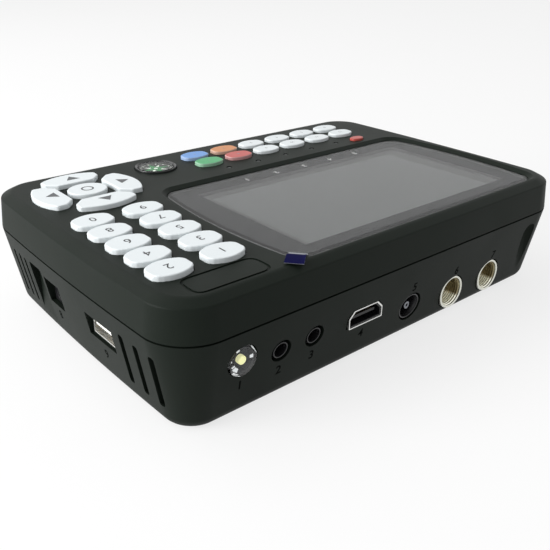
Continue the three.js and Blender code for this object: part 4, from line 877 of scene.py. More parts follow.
for node, (centre, outline, tint, mark) in key_plan.items():
    low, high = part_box(node)
    plastic = power_red if node == "power_key" else key_plastics[tint]
    shape = cap_mesh(node, centre, outline, low.z, high.z - mark_depth)
    cap = finished(f"{node}_cap", shape, plastic, node, 60)
    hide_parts(node)
    if node.startswith("digit"):
        lettered(f"{node}_mark", mark, digit_height, key_ink, centre, high.z - mark_depth / 2, node)
    elif node == "ok_key":
        ring_base = high.z - 0.75 * mark_depth
        ring_top = high.z - 0.25 * mark_depth
        ring_profile = [(ring_outer, ring_base), (ring_outer, ring_top), (ring_inner, ring_top),
                        (ring_inner, ring_base), (ring_outer, ring_base)]
        finished("ok_key_mark", turned_mesh("ring", ring_profile, centre), key_ink, node, weighted=False)
    elif node.startswith("function"):
        lettered(f"{node}_mark", mark, number_height, faint_ink, centre, high.z - mark_depth / 2, node)
    elif node.startswith("arrow"):
        corners = [(arrow_back, -arrow_half), (arrow_tip, 0), (arrow_back, arrow_half)]
        triangle = [Vector(corner) for corner in corners]
        for point in triangle:
            point.rotate(Matrix.Rotation(mark, 2))
        points = [(centre[0] + point.x + arrow_shift[0], centre[1] + point.y + arrow_shift[1])
                  for point in triangle]
        arrow = prism_mesh(f"{node}_mark", points, high.z - mark_depth / 2, high.z)
        finished(f"{node}_mark", arrow, arrow_ink, node, weighted=False)


# Screen
# A display module in its folded steel tray, behind a flat cover glass whose underside is
# printed black round the window. The shipping film still lies on it, with its blue pull tab.
def worked_metal(name, colour, roughness, grain=0.15 * mm, stretch=(1, 1, 1), tarnish=0.12,
                 depth=0.003 * mm):
    """Plated or rolled metal: fine tool marks, and a little tarnish in its tone and gloss."""
    material = moulded_plastic(name, colour, roughness, grain=grain, depth=depth, patch=tarnish)
    tuned(material, Metallic=1)
    tree = material.node_tree
    place = tree.nodes["Texture Coordinate"]
    along = tree.nodes.new("ShaderNodeMapping")
    along.inputs["Scale"].default_value = stretch
    tree.links.new(place.outputs["Object"], along.inputs["Vector"])
    tree.links.new(along.outputs[0], tree.nodes["Noise Texture"].inputs["Vector"])
    return material


def clear_plastic(name, colour, roughness, clearness=1.0):
    """Clear moulded or polished material with faint wipe marks in its gloss."""
    material = moulded_plastic(name, colour, roughness, grain=0.9 * mm, depth=0.002 * mm, patch=0.02)
    return tuned(material, Transmission_Weight=clearness, IOR=1.49)


display_face = moulded_plastic("display_face", (0.37, 0.38, 0.375), 0.5, grain=0.2 * mm, depth=0.001 * mm,
                               patch=0.03)
display_live = moulded_plastic("display_live", (0.55, 0.58, 0.57), 0.5, grain=0.2 * mm, depth=0.001 * mm,
                               patch=0.03)
tray_steel = worked_metal("tray_steel", (0.33, 0.34, 0.34), 0.35, stretch=(0.1, 1, 1))
glass_ink = moulded_plastic("glass_ink", (0.008, 0.008, 0.009), 0.5, grain=0.2 * mm, depth=0.001 * mm)
for matt in (display_face, display_live, glass_ink):
    tuned(matt, Specular_IOR_Level=0.05)
cover_glass = clear_plastic("cover_glass", (0.010, 0.012, 0.011), 0.08, clearness=0.0)
tuned(cover_glass, Alpha=0.36, IOR=2)

display_x = (display_low.x + display_high.x) / 2
display_y = (display_low.y + display_high.y) / 2
display_length = display_high.x - display_low.x
display_width = display_high.y - display_low.y
tray_wall = 0.35 * mm
tray_lip = 2.5 * mm
tray_round = 0.6 * mm
cell_low = display_low.z + 1 * mm
cell_drop = 0.15 * mm
cell_clearance = 0.05 * mm
picture_thickness = 0.03 * mm
live_low = (-66.4 * mm, -8.3 * mm)
live_high = (27.9 * mm, 45 * mm)

tray_outline = filleted(box_outline(display_x, display_y, display_length, display_width), tray_round, 3)
tray_mouth = box_outline(display_x, display_y, display_length - 2 * tray_lip, display_width - 2 * tray_lip)
tray_hollow = box_outline(display_x, display_y, display_length - 2 * tray_wall, display_width - 2 * tray_wall)
tray_mesh = carved(prism_mesh("tray", tray_outline, display_low.z, display_high.z), [
    prism_mesh("mouth", tray_mouth, cell_low, display_high.z + overrun),
    prism_mesh("hollow", tray_hollow, display_low.z + tray_wall, display_high.z - tray_wall),
])
display_tray = finished("display_tray", tray_mesh, tray_steel)
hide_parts("display_module")

cell_outline = spread(tray_hollow, -cell_clearance)
cell_high = display_high.z - tray_wall - cell_drop
cell_mesh = prism_mesh("cell", cell_outline, cell_low, cell_high)
display_cell = finished("display_cell", cell_mesh, display_face, weighted=False)
picture_outline = corner_outline(live_low, live_high)
picture_mesh = prism_mesh("picture", picture_outline, cell_high, cell_high + picture_thickness)
display_picture = finished("display_picture", picture_mesh, display_live, weighted=False)

glass_edge = 0.2 * mm
highlight_ring_thickness = 0.01 * mm
glass_mesh = ring_mesh("glass", [
    glass_ring(glass_low.z, -glass_edge), glass_ring(glass_low.z + glass_edge, 0),
    glass_ring(glass_high.z - glass_edge, 0), glass_ring(glass_high.z, -glass_edge),
])
glass_pane = finished("glass_pane", glass_mesh, cover_glass)
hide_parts("screen_glass")

# A thin pale grey ring over the top chamfer of the glass: a painted highlight along its edge.
edge_painted_highlight = moulded_plastic("edge_painted_highlight", (0.12, 0.125, 0.125), 0.5, grain=0.2 * mm, depth=0.001 * mm)
chamfer_mesh = ring_mesh("chamfer", [
    glass_ring(glass_high.z - glass_edge, highlight_ring_thickness),
    glass_ring(glass_high.z, highlight_ring_thickness - glass_edge),
    glass_ring(glass_high.z, -glass_edge), glass_ring(glass_high.z - glass_edge, 0),
    glass_ring(glass_high.z - glass_edge, highlight_ring_thickness),
], ended=False)
glass_chamfer = finished("glass_chamfer", chamfer_mesh, edge_painted_highlight, weighted=False)

window_low = (-73.1 * mm, -12.1 * mm)
window_high = (31.8 * mm, 45.2 * mm)
window_round = 0.8 * mm
window_outline = filleted(corner_outline(window_low, window_high), window_round, 4)
ink_low = glass_low.z + 0.005 * mm
ink_high = ink_low + 0.01 * mm
ink_inset = 0.3 * mm
border_mesh = ring_mesh("border", [glass_ring(ink_low, -ink_inset), glass_ring(ink_high, -ink_inset)])
window_cut = prism_mesh("opening", window_outline, ink_low - overrun, ink_low + overrun)
border_mesh = carved(border_mesh, [window_cut])
glass_border = finished("glass_border", border_mesh, glass_ink, weighted=False)

film_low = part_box("protective_film")[0]
film_inset = 1.6 * mm
film_thickness = 0.2 * mm
film_lift = 0.03 * mm
film_tone = tuned(clear_plastic("film_tone", (0.45, 0.46, 0.47), 0.22, clearness=0.0), Alpha=0.05)
for flat in (cover_glass, film_tone):
    bump = flat.node_tree.nodes["Principled BSDF"].inputs["Normal"].links[0].from_node
    bump.inputs["Strength"].default_value = 0
film_mesh = ring_mesh("film", [glass_ring(film_low.z + film_lift, -film_inset),
                               glass_ring(film_low.z + film_thickness / 2, -film_inset)])
film_sheet = finished("film_sheet", film_mesh, film_tone, weighted=False)
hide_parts("protective_film")

tab_blue = tuned(clear_plastic("tab_blue", (0.004, 0.004, 0.04), 0.6, clearness=0.0), Specular_IOR_Level=0.02)
tab_pale = clear_plastic("tab_pale", (0.24, 0.25, 0.28), 0.4, clearness=0.0)
tab_turn = math.radians(41)
tab_root = glass_ring(film_low.z, -film_inset)[corner_steps // 2]
tab_reach = 9.4 * mm
tab_half = 2.85 * mm
tab_crest = 5.4 * mm
tab_rise = 1.55 * mm
tab_curl = 0.25 * mm
tab_droop = 0.2 * mm
tab_climb_share = 0.85
tab_curl_start = 0.7
tab_curl_band = 0.3


def tab_mesh(name, start, reach, half, lift, thickness):
    """A strip that leaves the film's corner, climbs over the bezel and droops past its crest."""
    bottom = []
    top = []
    rows = 24
    columns = 10
    for row in range(rows + 1):
        along = start + (reach - start) * row / rows
        climb = math.sin(min(1, max(0, along / (tab_climb_share * tab_crest))) * math.pi / 2)
        droop = max(0, along - tab_crest) / (tab_reach - tab_crest)
        rise = lift + tab_rise * climb - tab_droop * droop ** 2
        for column in range(columns + 1):
            across = half * (2 * column / columns - 1)
            edge = max(0, across / tab_half - tab_curl_start) / tab_curl_band
            curl = tab_curl * edge ** 2 * climb * (1 - droop)
            x = along * math.cos(tab_turn) - across * math.sin(tab_turn)
            y = along * math.sin(tab_turn) + across * math.cos(tab_turn)
            bottom.append(tab_root + Vector((x, y, rise + curl)))
            top.append(tab_root + Vector((x, y, rise + curl + thickness)))
    mesh = bpy.data.meshes.new(name)
    count = len(bottom)
    faces = []
    for row in range(rows):
        for column in range(columns):
            a = row * (columns + 1) + column
            b = a + columns + 1
            faces.append((a, a + 1, b + 1, b))
            faces.append((count + a, count + b, count + b + 1, count + a + 1))
    rim = list(range(columns + 1))
    rim += [row * (columns + 1) + columns for row in range(1, rows + 1)]
    rim += [rows * (columns + 1) + column for column in range(columns - 1, -1, -1)]
    rim += [row * (columns + 1) for row in range(rows - 1, 0, -1)]
    for index, here in enumerate(rim):
        ahead = rim[(index + 1) % len(rim)]
        faces.append((here, ahead, count + ahead, count + here))
    mesh.from_pydata([tuple(point) for point in bottom + top], [], faces)
    tidy = bmesh.new()
    tidy.from_mesh(mesh)
    bmesh.ops.recalc_face_normals(tidy, faces=tidy.faces)
    tidy.to_mesh(mesh)
    tidy.free()
    return mesh


tab_end = tab_reach - 0.05 * mm
backing_mesh = tab_mesh("backing", start=-1 * mm, reach=tab_end, half=tab_half,
                        lift=film_thickness / 2 + 0.02 * mm, thickness=0.06 * mm)
tab_backing = finished("tab_backing", backing_mesh, tab_pale)
print_mesh = tab_mesh("print", start=2.9 * mm, reach=tab_end, half=tab_half - 0.02 * mm,
                      lift=film_thickness / 2 + 0.1 * mm, thickness=0.05 * mm)
tab_print = finished("tab_print", print_mesh, tab_blue)

lamp_numbers = moulded_plastic("lamp_numbers", (0.9, 0.9, 0.9), 0.5, grain=0.2 * mm, depth=0.001 * mm)
light_number_height = 2.4 * mm
light_number_y = -14.9 * mm
light_number_level = glass_low.z + 0.02 * mm
for index, place in enumerate(light_places):
    lettered(f"light_number_{index + 1}", str(index + 1), light_number_height, lamp_numbers,
             (place[0], light_number_y), light_number_level, "case", thickness=0.004 * mm, bold=0.14 * mm)


# Indicator lights
# One bar of smoked acrylic with five round pipes, set into the panel over small lamps on
# the key board. Their polished ends stand just below the panel's face.
pipe_low, pipe_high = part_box("indicator_pipes")
pipe_acrylic = clear_plastic("pipe_acrylic", (0.045, 0.048, 0.05), 0.3, clearness=0.2)
bar_high = panel_under - hair
bar_low = bar_high - 1 * mm
bar_half = 1.5 * mm
bar_round = 0.5 * mm
pipe_edge = 0.25 * mm
bar_middle = (pipe_low.x + pipe_high.x) / 2
bar_outline = box_outline(bar_middle, light_places[0][1], pipe_high.x - pipe_low.x, 2 * bar_half)
bar_outline = filleted(bar_outline, bar_round, 4)
pipe_meshes = [prism_mesh("bar", bar_outline, bar_low, bar_high)]
for place in light_places:
    profile = [(0, bar_high), (light_radius, bar_high), (light_radius, pipe_high.z - pipe_edge)]
    for step in range(1, 7):
        angle = step / 6 * math.pi / 2
        profile.append((light_radius * math.cos(angle), pipe_high.z - pipe_edge * (1 - math.sin(angle))))
    pipe_meshes.append(turned_mesh("pipe", profile, place, steps=24))
light_pipes = finished("light_pipes", joined_mesh("pipes", pipe_meshes), pipe_acrylic)
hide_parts("indicator_pipes")


# Compass
# A small dry compass: a black cup with a dished rim, a printed card that swings on a steel
# point, and a clear lid. The card carries a white and green star, two rows of white ticks
# and a red mark for north.
cup_low, cup_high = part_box("compass_capsule")
card_low, card_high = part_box("compass_card")
lid_low, lid_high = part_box("compass_lid")
cup_plastic = moulded_plastic("cup_plastic", (0.012, 0.013, 0.013), 0.28, grain=0.3 * mm, depth=0.004 * mm)
card_black = moulded_plastic("card_black", (0.008, 0.010, 0.009), 0.5, grain=0.3 * mm, depth=0.002 * mm)
card_green = moulded_plastic("card_green", (0.010, 0.20, 0.05), 0.5, grain=0.3 * mm, depth=0.002 * mm)
card_white = moulded_plastic("card_white", (0.85, 0.86, 0.80), 0.5, grain=0.3 * mm, depth=0.002 * mm)
card_red = moulded_plastic("card_red", (0.60, 0.06, 0.04), 0.5, grain=0.3 * mm, depth=0.002 * mm)
lid_clear = tuned(clear_plastic("lid_clear", (0.96, 0.98, 0.97), 0.04), IOR=1.1)
for printed in (card_black, card_green, card_white, card_red):
    tuned(printed, Specular_IOR_Level=0.05)
pivot_steel = worked_metal("pivot_steel", (0.6, 0.6, 0.6), 0.25)

cup_wall = 1 * mm
cup_floor = 1 * mm
cup_inner = compass_radius - cup_wall
cup_profile = [
    (0, cup_low.z), (compass_radius - 0.2 * mm, cup_low.z), (compass_radius, cup_low.z + 0.2 * mm),
    (compass_radius, cup_high.z - 0.35 * mm), (compass_radius - 0.1 * mm, cup_high.z - 0.1 * mm),
    (compass_radius - 0.3 * mm, cup_high.z), (compass_radius - 0.5 * mm, cup_high.z - 0.08 * mm),
    (cup_inner, cup_high.z - 0.5 * mm), (cup_inner, cup_low.z + cup_floor), (0, cup_low.z + cup_floor),
]
compass_cup = finished("compass_cup", turned_mesh("cup", cup_profile, compass_centre, steps=72), cup_plastic)
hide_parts("compass_capsule")
socket_top = card_low.z + 1.5 * mm
pivot_low = cup_low.z + cup_floor - 0.5 * mm
pivot_radius = 0.5 * mm
pivot_profile = [
    (0, pivot_low), (pivot_radius, pivot_low), (pivot_radius, socket_top - 0.9 * mm),
    (0.05 * mm, socket_top - 0.32 * mm), (0, socket_top - 0.3 * mm),
]
pivot_mesh = turned_mesh("pivot", pivot_profile, compass_centre, steps=20)
compass_pivot = finished("compass_pivot", pivot_mesh, pivot_steel)

card_radius = 6.4 * mm
card_thickness = 0.7 * mm
hub_radius = 1.6 * mm
hub_bore = 0.9 * mm
card_edge = 0.1 * mm
card_under = card_high.z - card_thickness
dial_profile = [
    (0, socket_top), (hub_bore, socket_top), (hub_bore, card_low.z), (hub_radius, card_low.z),
    (hub_radius, card_under), (card_radius - card_edge, card_under), (card_radius, card_under + card_edge),
    (card_radius, card_high.z - card_edge), (card_radius - card_edge, card_high.z), (0, card_high.z),
]
dial_mesh = turned_mesh("dial", dial_profile, compass_centre, steps=64)
compass_dial = finished("compass_dial", dial_mesh, card_black, "compass_card")
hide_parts("compass_card")


dial_print = card_high.z + 0.01 * mm
print_thickness = 0.02 * mm
star_points = 4


def star_mesh(long, short, turn, level):
    """A star of narrow points as one thin printed layer."""
    outline = []
    for index in range(2 * star_points):
        radius = short if index % 2 else long
        angle = turn + math.pi * index / star_points
        x = compass_centre[0] + radius * math.cos(angle)
        y = compass_centre[1] + radius * math.sin(angle)
        outline.append((x, y))
    return prism_mesh("star", outline, level, level + print_thickness)


white_star = star_mesh(long=4.7 * mm, short=1.5 * mm, turn=math.pi / 4, level=dial_print)
finished("dial_star_white", white_star, card_white, "compass_card", weighted=False)
green_star = star_mesh(long=5.6 * mm, short=1.9 * mm, turn=0, level=dial_print + print_thickness)
finished("dial_star_green", green_star, card_green, "compass_card", weighted=False)
centre_radius = 0.8 * mm
centre_outline = round_outline(*compass_centre, centre_radius, 24)
centre_mesh = prism_mesh("centre", centre_outline, dial_print + 0.04 * mm, dial_print + 0.06 * mm)
finished("dial_centre", centre_mesh, card_white, "compass_card", weighted=False)
north_half = 0.7 * mm
north_base = compass_centre[1] + 5.0 * mm
north_tip = compass_centre[1] + 6.1 * mm
north = [(compass_centre[0] - north_half, north_base), (compass_centre[0] + north_half, north_base),
         (compass_centre[0], north_tip)]
north_mesh = prism_mesh("north", north, dial_print + 0.05 * mm, dial_print + 0.07 * mm)
finished("dial_north", north_mesh, card_red, "compass_card", weighted=False)


class RepeatTree:
    """A Geometry Nodes tree with named inputs, which ends in real geometry in one material."""

    def __init__(self, name, sizes):
        self.tree = bpy.data.node_groups.new(name, "GeometryNodeTree")
        self.names = {}
        for label, kind in sizes:
            socket = self.tree.interface.new_socket(label, in_out="INPUT", socket_type=kind)
            self.names[label] = socket.identifier
        socket = self.tree.interface.new_socket("Finish", in_out="INPUT", socket_type="NodeSocketMaterial")
        self.names["Finish"] = socket.identifier
        self.tree.interface.new_socket("Geometry", in_out="OUTPUT", socket_type="NodeSocketGeometry")
        self.inputs = self.add("NodeGroupInput")
        self.output = self.add("NodeGroupOutput")

    def add(self, kind, **settings):
        """Adds one node and sets its options."""
        node = self.tree.nodes.new(kind)
        for key, value in settings.items():
            setattr(node, key, value)
        return node

    def join(self, source, target):
        """Links one socket to another."""
        self.tree.links.new(source, target)

    def size(self, label, target):
        """Links one of the tree's named inputs to a socket."""
        self.join(self.inputs.outputs[label], target)

    def close(self, geometry):
        """Makes the copies real, gives them the material and ends the tree."""
        real = self.add("GeometryNodeRealizeInstances")
        coat = self.add("GeometryNodeSetMaterial")
        self.join(geometry, real.inputs["Geometry"])
        self.join(real.outputs["Geometry"], coat.inputs["Geometry"])
        self.size("Finish", coat.inputs["Material"])
        self.join(coat.outputs["Geometry"], self.output.inputs["Geometry"])

    def grow(self, name, **values):
        """Runs the tree with the given inputs and returns the mesh it makes."""
        holder = plain_object(name, bpy.data.meshes.new(name))
        grown = holder.modifiers.new("grown", "NODES")
        grown.node_group = self.tree
        for label, value in values.items():
            grown[self.names[label.replace("_", " ")]] = value
        graph = bpy.context.evaluated_depsgraph_get()
        mesh = bpy.data.meshes.new_from_object(holder.evaluated_get(graph))
        blank = holder.data
        bpy.data.objects.remove(holder)
        bpy.data.meshes.remove(blank)
        return mesh


ticks = RepeatTree("dial_ticks", [("Count", "NodeSocketInt"), ("Radius", "NodeSocketFloat"),
                                  ("Tick Size", "NodeSocketVector")])
tick_places = ticks.add("GeometryNodeMeshCircle")
ticks.size("Count", tick_places.inputs["Vertices"])
ticks.size("Radius", tick_places.inputs["Radius"])
tick_bar = ticks.add("GeometryNodeMeshCube")
ticks.size("Tick Size", tick_bar.inputs["Size"])
tick_position = ticks.add("GeometryNodeInputPosition")
tick_aim = ticks.add("FunctionNodeAlignRotationToVector", axis="X")
ticks.join(tick_position.outputs[0], tick_aim.inputs["Vector"])
tick_set = ticks.add("GeometryNodeInstanceOnPoints")
ticks.join(tick_places.outputs[0], tick_set.inputs["Points"])
ticks.join(tick_bar.outputs[0], tick_set.inputs["Instance"])
ticks.join(tick_aim.outputs[0], tick_set.inputs["Rotation"])
ticks.close(tick_set.outputs[0])
tick_rows = [("fine", 72, 0.4 * mm, 0.12 * mm, 6.05 * mm), ("bold", 12, 1.0 * mm, 0.5 * mm, 5.75 * mm)]
for name, count, length, width, radius in tick_rows:
    marks = ticks.grow(f"dial_ticks_{name}", Count=count, Radius=radius,
                       Tick_Size=(length, width, print_thickness), Finish=card_white)
    marks.transform(Matrix.Translation((*compass_centre, dial_print + 0.01 * mm)))
    finished(f"dial_ticks_{name}", marks, card_white, "compass_card", weighted=False)

lid_radius = (lid_high.x - lid_low.x) / 2
lid_edge = 0.15 * mm
lid_profile = [
    (0, lid_low.z), (lid_radius, lid_low.z), (lid_radius, lid_high.z - lid_edge),
    (lid_radius - lid_edge, lid_high.z - 0.02 * mm), (lid_radius * 0.5, lid_high.z), (0, lid_high.z),
]
lid_mesh = turned_mesh("cover", lid_profile, compass_centre, steps=64)
compass_cover = finished("compass_cover", lid_mesh, lid_clear)
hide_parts("compass_lid")


# Antenna sockets
# Two screw-on coaxial sockets turned from brass and nickel plated, threaded inside, with a
# white insulator and a hollow gilt contact at the bottom of each bore.
nickel_plate = worked_metal("nickel_plate", (0.74, 0.74, 0.67), 0.3, grain=0.25 * mm, stretch=(1, 0.2, 1),
                            tarnish=0.12, depth=0.004 * mm)
# The bore's metal is pale cream low down and dull brown higher up: a painted reflection of the bright room on
# the lower wall, and painted shade above.
bore_brass_painted_reflection = worked_metal("bore_brass_painted_reflection", (0.5, 0.5, 0.5), 0.3, grain=0.25 * mm, stretch=(1, 0.2, 1),
                          tarnish=0.2, depth=0.004 * mm)
bore_tree = bore_brass_painted_reflection.node_tree
bore_place = bore_tree.nodes.new("ShaderNodeSeparateXYZ")
bore_tree.links.new(bore_tree.nodes["Texture Coordinate"].outputs["Object"], bore_place.inputs[0])
painted_reflection_height = bore_tree.nodes.new("ShaderNodeMapRange")
painted_reflection_below = signal_centres[0][1] - 3.4 * mm
painted_shade_above = signal_centres[0][1] - 2.4 * mm
painted_reflection_height.inputs["From Min"].default_value = painted_reflection_below
painted_reflection_height.inputs["From Max"].default_value = painted_shade_above
bore_tree.links.new(bore_place.outputs["Z"], painted_reflection_height.inputs["Value"])
painted_reflection_tone = bore_tree.nodes.new("ShaderNodeMix")
painted_reflection_tone.data_type = "RGBA"
painted_reflection_tone.inputs[6].default_value = (0.93, 0.92, 0.80, 1)
painted_reflection_tone.inputs[7].default_value = (0.26, 0.22, 0.13, 1)
bore_tree.links.new(painted_reflection_height.outputs[0], painted_reflection_tone.inputs[0])
bore_tree.links.new(painted_reflection_tone.outputs[2], bore_tree.nodes["Principled BSDF"].inputs["Base Color"])
insulator_white = moulded_plastic("insulator_white", (0.62, 0.60, 0.52), 0.4, grain=0.3 * mm,
                                  depth=0.002 * mm)
contact_gold = worked_metal("contact_gold", (0.75, 0.53, 0.22), 0.25)
signal_bore = 5.3 * mm
signal_floor = 7 * mm
thread_pitch = 0.9 * mm
thread_depth = 0.3 * mm
contact_hole = 0.45 * mm
contact_radius = 1.0 * mm

threads = RepeatTree("socket_thread", [("Radius", "NodeSocketFloat"), ("Height", "NodeSocketFloat"),
                                       ("Turns", "NodeSocketFloat"), ("Depth", "NodeSocketFloat")])
helix = threads.add("GeometryNodeCurveSpiral")
helix.inputs["Resolution"].default_value = 40
threads.size("Turns", helix.inputs["Rotations"])
threads.size("Radius", helix.inputs["Start Radius"])
threads.size("Radius", helix.inputs["End Radius"])
threads.size("Height", helix.inputs["Height"])
crest = threads.add("GeometryNodeCurvePrimitiveCircle")
crest.inputs["Resolution"].default_value = 4
threads.size("Depth", crest.inputs["Radius"])
ridge = threads.add("GeometryNodeCurveToMesh")
ridge.inputs["Fill Caps"].default_value = True
threads.join(helix.outputs[0], ridge.inputs["Curve"])
threads.join(crest.outputs[0], ridge.inputs["Profile Curve"])
threads.close(ridge.outputs[0])

for index, centre in enumerate(signal_centres):
    node = f"signal_socket_{index + 1}"
    low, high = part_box(node)
    front = high.y
    floor = front - signal_floor
    shell_profile = [
        (0, low.y), (signal_radius - 0.2 * mm, low.y), (signal_radius, low.y + 0.2 * mm),
        (signal_radius, front - 0.25 * mm), (signal_radius - 0.08 * mm, front - 0.08 * mm),
        (signal_radius - 0.25 * mm, front), (signal_bore + 0.2 * mm, front),
        (signal_bore + 0.08 * mm, front - 0.1 * mm), (signal_bore, front - 0.25 * mm),
        (signal_bore, floor), (1 * mm, floor), (1 * mm, floor - 0.5 * mm), (0, floor - 0.5 * mm),
    ]
    shell = finished(f"{node}_shell", turned_mesh("shell", shell_profile, centre, "Y", 72), nickel_plate)
    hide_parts(node)
    sleeve_inner = signal_bore - 0.03 * mm
    sleeve_profile = [(sleeve_inner, front - 0.9 * mm), (signal_bore, front - 0.8 * mm),
                      (signal_bore, floor), (sleeve_inner, floor)]
    sleeve_mesh = turned_mesh("bore", sleeve_profile + [sleeve_profile[0]], centre, "Y", 72)
    sleeve = finished(f"{node}_bore", sleeve_mesh, bore_brass_painted_reflection, weighted=False)
    thread_height = signal_floor - 1.5 * mm
    thread = threads.grow(f"{node}_thread", Radius=signal_bore + 0.02 * mm, Height=thread_height,
                          Turns=thread_height / thread_pitch, Depth=thread_depth, Finish=bore_brass_painted_reflection)
    thread.transform(Matrix.Translation((centre[0], front - 0.6 * mm, centre[1]))
                     @ Matrix.Rotation(math.radians(90), 4, "X"))
    ridges = finished(f"{node}_thread", thread, bore_brass_painted_reflection, crease=40, weighted=False)
    floor_profile = [(1.3 * mm, floor), (signal_bore - 0.4 * mm, floor),
                     (signal_bore - 0.5 * mm, floor + 0.5 * mm), (1.5 * mm, floor + 0.6 * mm),
                     (1.3 * mm, floor + 0.5 * mm)]
    plug_mesh = turned_mesh("insulator", floor_profile + [floor_profile[0]], centre, "Y", 40)
    plug = finished(f"{node}_insulator", plug_mesh, insulator_white)
    contact_profile = [(contact_hole, floor), (contact_radius, floor), (contact_radius, floor + 0.9 * mm),
                       (0.75 * mm, floor + 1.1 * mm), (contact_hole, floor + 0.9 * mm), (contact_hole, floor)]
    contact_mesh = turned_mesh("contact", contact_profile, centre, "Y", 24)
    contact = finished(f"{node}_contact", contact_mesh, contact_gold)


# Power-out socket and audio jacks
# Black moulded jacks whose round noses fill holes in the socket edge. The power socket has
# a hollow steel pin in its bore.
jack_black = moulded_plastic("jack_black", (0.008, 0.008, 0.009), 0.28, grain=0.3 * mm, depth=0.003 * mm)
jack_dark = moulded_plastic("jack_dark", (0.004, 0.004, 0.005), 0.4, grain=0.3 * mm, depth=0.003 * mm)
pin_steel = worked_metal("pin_steel", (0.22, 0.23, 0.25), 0.3, stretch=(1, 0.2, 1))


def nose_profile(radius, lip, bore, front, back, floor, rim):
    """A round nose: a full barrel, a narrower lip in front with a rounded rim, and a bore."""
    rim_steps = 8
    profile = [(0, back), (radius - 0.2 * mm, back), (radius, back + 0.2 * mm), (radius, front - 1.7 * mm),
               (lip, front - 1.5 * mm), (lip, front - rim)]
    middle = lip - rim
    for step in range(1, rim_steps + 1):
        angle = step / rim_steps * math.pi
        profile.append((middle + rim * math.cos(angle), front - rim + rim * math.sin(angle)))
    profile += [(lip - 2 * rim - 0.08 * mm, front - rim - 0.3 * mm), (bore, front - rim - 2.6 * mm),
                (bore, floor), (0, floor)]
    return profile


def leaned(mesh, z):
    """Tips a round piece's front to lie along the leaning wall at one height."""
    slope = Matrix.Identity(4)
    slope[1][2] = base_inset / parting_height
    slope[1][3] = -z * base_inset / parting_height
    mesh.transform(slope)
    return mesh


power_low, power_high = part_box("power_out_jack")
power_front = power_high.y
power_bore = 3.2 * mm
power_floor = power_front - 9 * mm
jack_corner = 0.4 * mm
jack_bevel = 0.1 * mm
power_block_size = 10.4 * mm
power_block = filleted(box_outline(*power_out_centre, power_block_size, power_block_size), jack_corner, 3)
power_body = prism_mesh("block", power_block, power_low.y, power_front - 3.4 * mm, "Y")
power_well = round_outline(*power_out_centre, power_out_radius - 0.3 * mm)
power_cut = prism_mesh("bore", power_well, power_low.y + 1 * mm, power_front, "Y")
power_body = carved(power_body, [power_cut], jack_bevel)
power_profile = nose_profile(radius=power_out_radius, lip=4.8 * mm, bore=power_bore, front=power_front,
                             back=power_low.y + 2.6 * mm, floor=power_floor, rim=0.28 * mm)
power_nose = leaned(turned_mesh("nose", power_profile, power_out_centre, "Y", 64), power_out_centre[1])
power_out_socket = finished("power_out_socket", joined_mesh("jack", [power_body, power_nose]), jack_black)
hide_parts("power_out_jack")
pin_hole = 0.55 * mm
pin_radius = 1.45 * mm
pin_profile = [
    (pin_hole, power_floor + 1 * mm), (pin_hole, power_front - 1.0 * mm), (0.8 * mm, power_front - 0.8 * mm),
    (1.3 * mm, power_front - 0.95 * mm), (pin_radius, power_front - 1.2 * mm),
    (pin_radius, power_floor - 0.2 * mm), (0, power_floor - 0.2 * mm), (0, power_floor + 1 * mm),
]
power_pin = finished("power_out_pin", turned_mesh("pin", pin_profile, power_out_centre, "Y", 32), pin_steel)

audio_block_size = (8 * mm, 6.4 * mm)
for index, centre in enumerate(audio_centres):
    node = f"audio_jack_{index + 1}"
    low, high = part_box(node)
    body_outline = filleted(box_outline(*centre, *audio_block_size), jack_corner, 3)
    block = prism_mesh("block", body_outline, low.y, high.y - 3.7 * mm, "Y")
    well = prism_mesh("bore", round_outline(*centre, 2.6 * mm), low.y + 0.5 * mm, high.y, "Y")
    block = carved(block, [well], jack_bevel)
    audio_profile = nose_profile(radius=audio_radius, lip=2.75 * mm, bore=1.8 * mm, front=high.y,
                                 back=low.y + 1.6 * mm, floor=low.y + 2 * mm, rim=0.22 * mm)
    nose = leaned(turned_mesh("nose", audio_profile, centre, "Y", 56), centre[1])
    jack = finished(f"{node}_body", joined_mesh("jack", [block, nose]), jack_black)
    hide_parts(node)


# Video socket
# A folded steel shell with two chamfered corners round a black moulding. Nineteen flat
# contacts lie on the two faces of its tongue.
shell_steel = worked_metal("shell_steel", (0.80, 0.80, 0.78), 0.3, stretch=(1, 0.2, 1))
contact_plate = worked_metal("contact_plate", (0.70, 0.50, 0.22), 0.3)
video_low, video_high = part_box("video_socket")
video_front = video_high.y
shell_wall = 0.38 * mm
tongue_setback = 1.4 * mm
video_edge = filleted(video_outline(0), 0.35 * mm, 4)
video_mouth = filleted(video_outline(-shell_wall), 0.3 * mm, 4)
shell_bevel = 0.08 * mm
shell_cut = prism_mesh("mouth", video_mouth, video_low.y + shell_wall, video_front + overrun, "Y")
shell_mesh = carved(prism_mesh("shell", video_edge, video_low.y, video_front, "Y"), [shell_cut], shell_bevel)
video_shell = finished("video_shell", shell_mesh, shell_steel)
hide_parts("video_socket")
lining_outline = filleted(video_outline(-shell_wall - 0.02 * mm), 0.3 * mm, 4)
lining_hollow = filleted(video_outline(-shell_wall - 0.35 * mm), 0.25 * mm, 4)
lining_cut = prism_mesh("hollow", lining_hollow, video_low.y + 2 * mm, video_front + overrun, "Y")
video_lining = prism_mesh("lining", lining_outline, video_low.y + 0.6 * mm, video_front - 0.5 * mm, "Y")
video_lining = carved(video_lining, [lining_cut])
lining = finished("video_lining", video_lining, jack_dark)
tongue_size = (10.6 * mm, 1 * mm)
tongue_bevel = 0.1 * mm
tongue_outline = filleted(box_outline(*video_centre, *tongue_size), 0.2 * mm, 3)
tongue_blank = prism_mesh("tongue", tongue_outline, video_low.y + 1.9 * mm, video_front - tongue_setback, "Y")
video_tongue = finished("video_tongue", carved(tongue_blank, [], tongue_bevel), jack_dark)

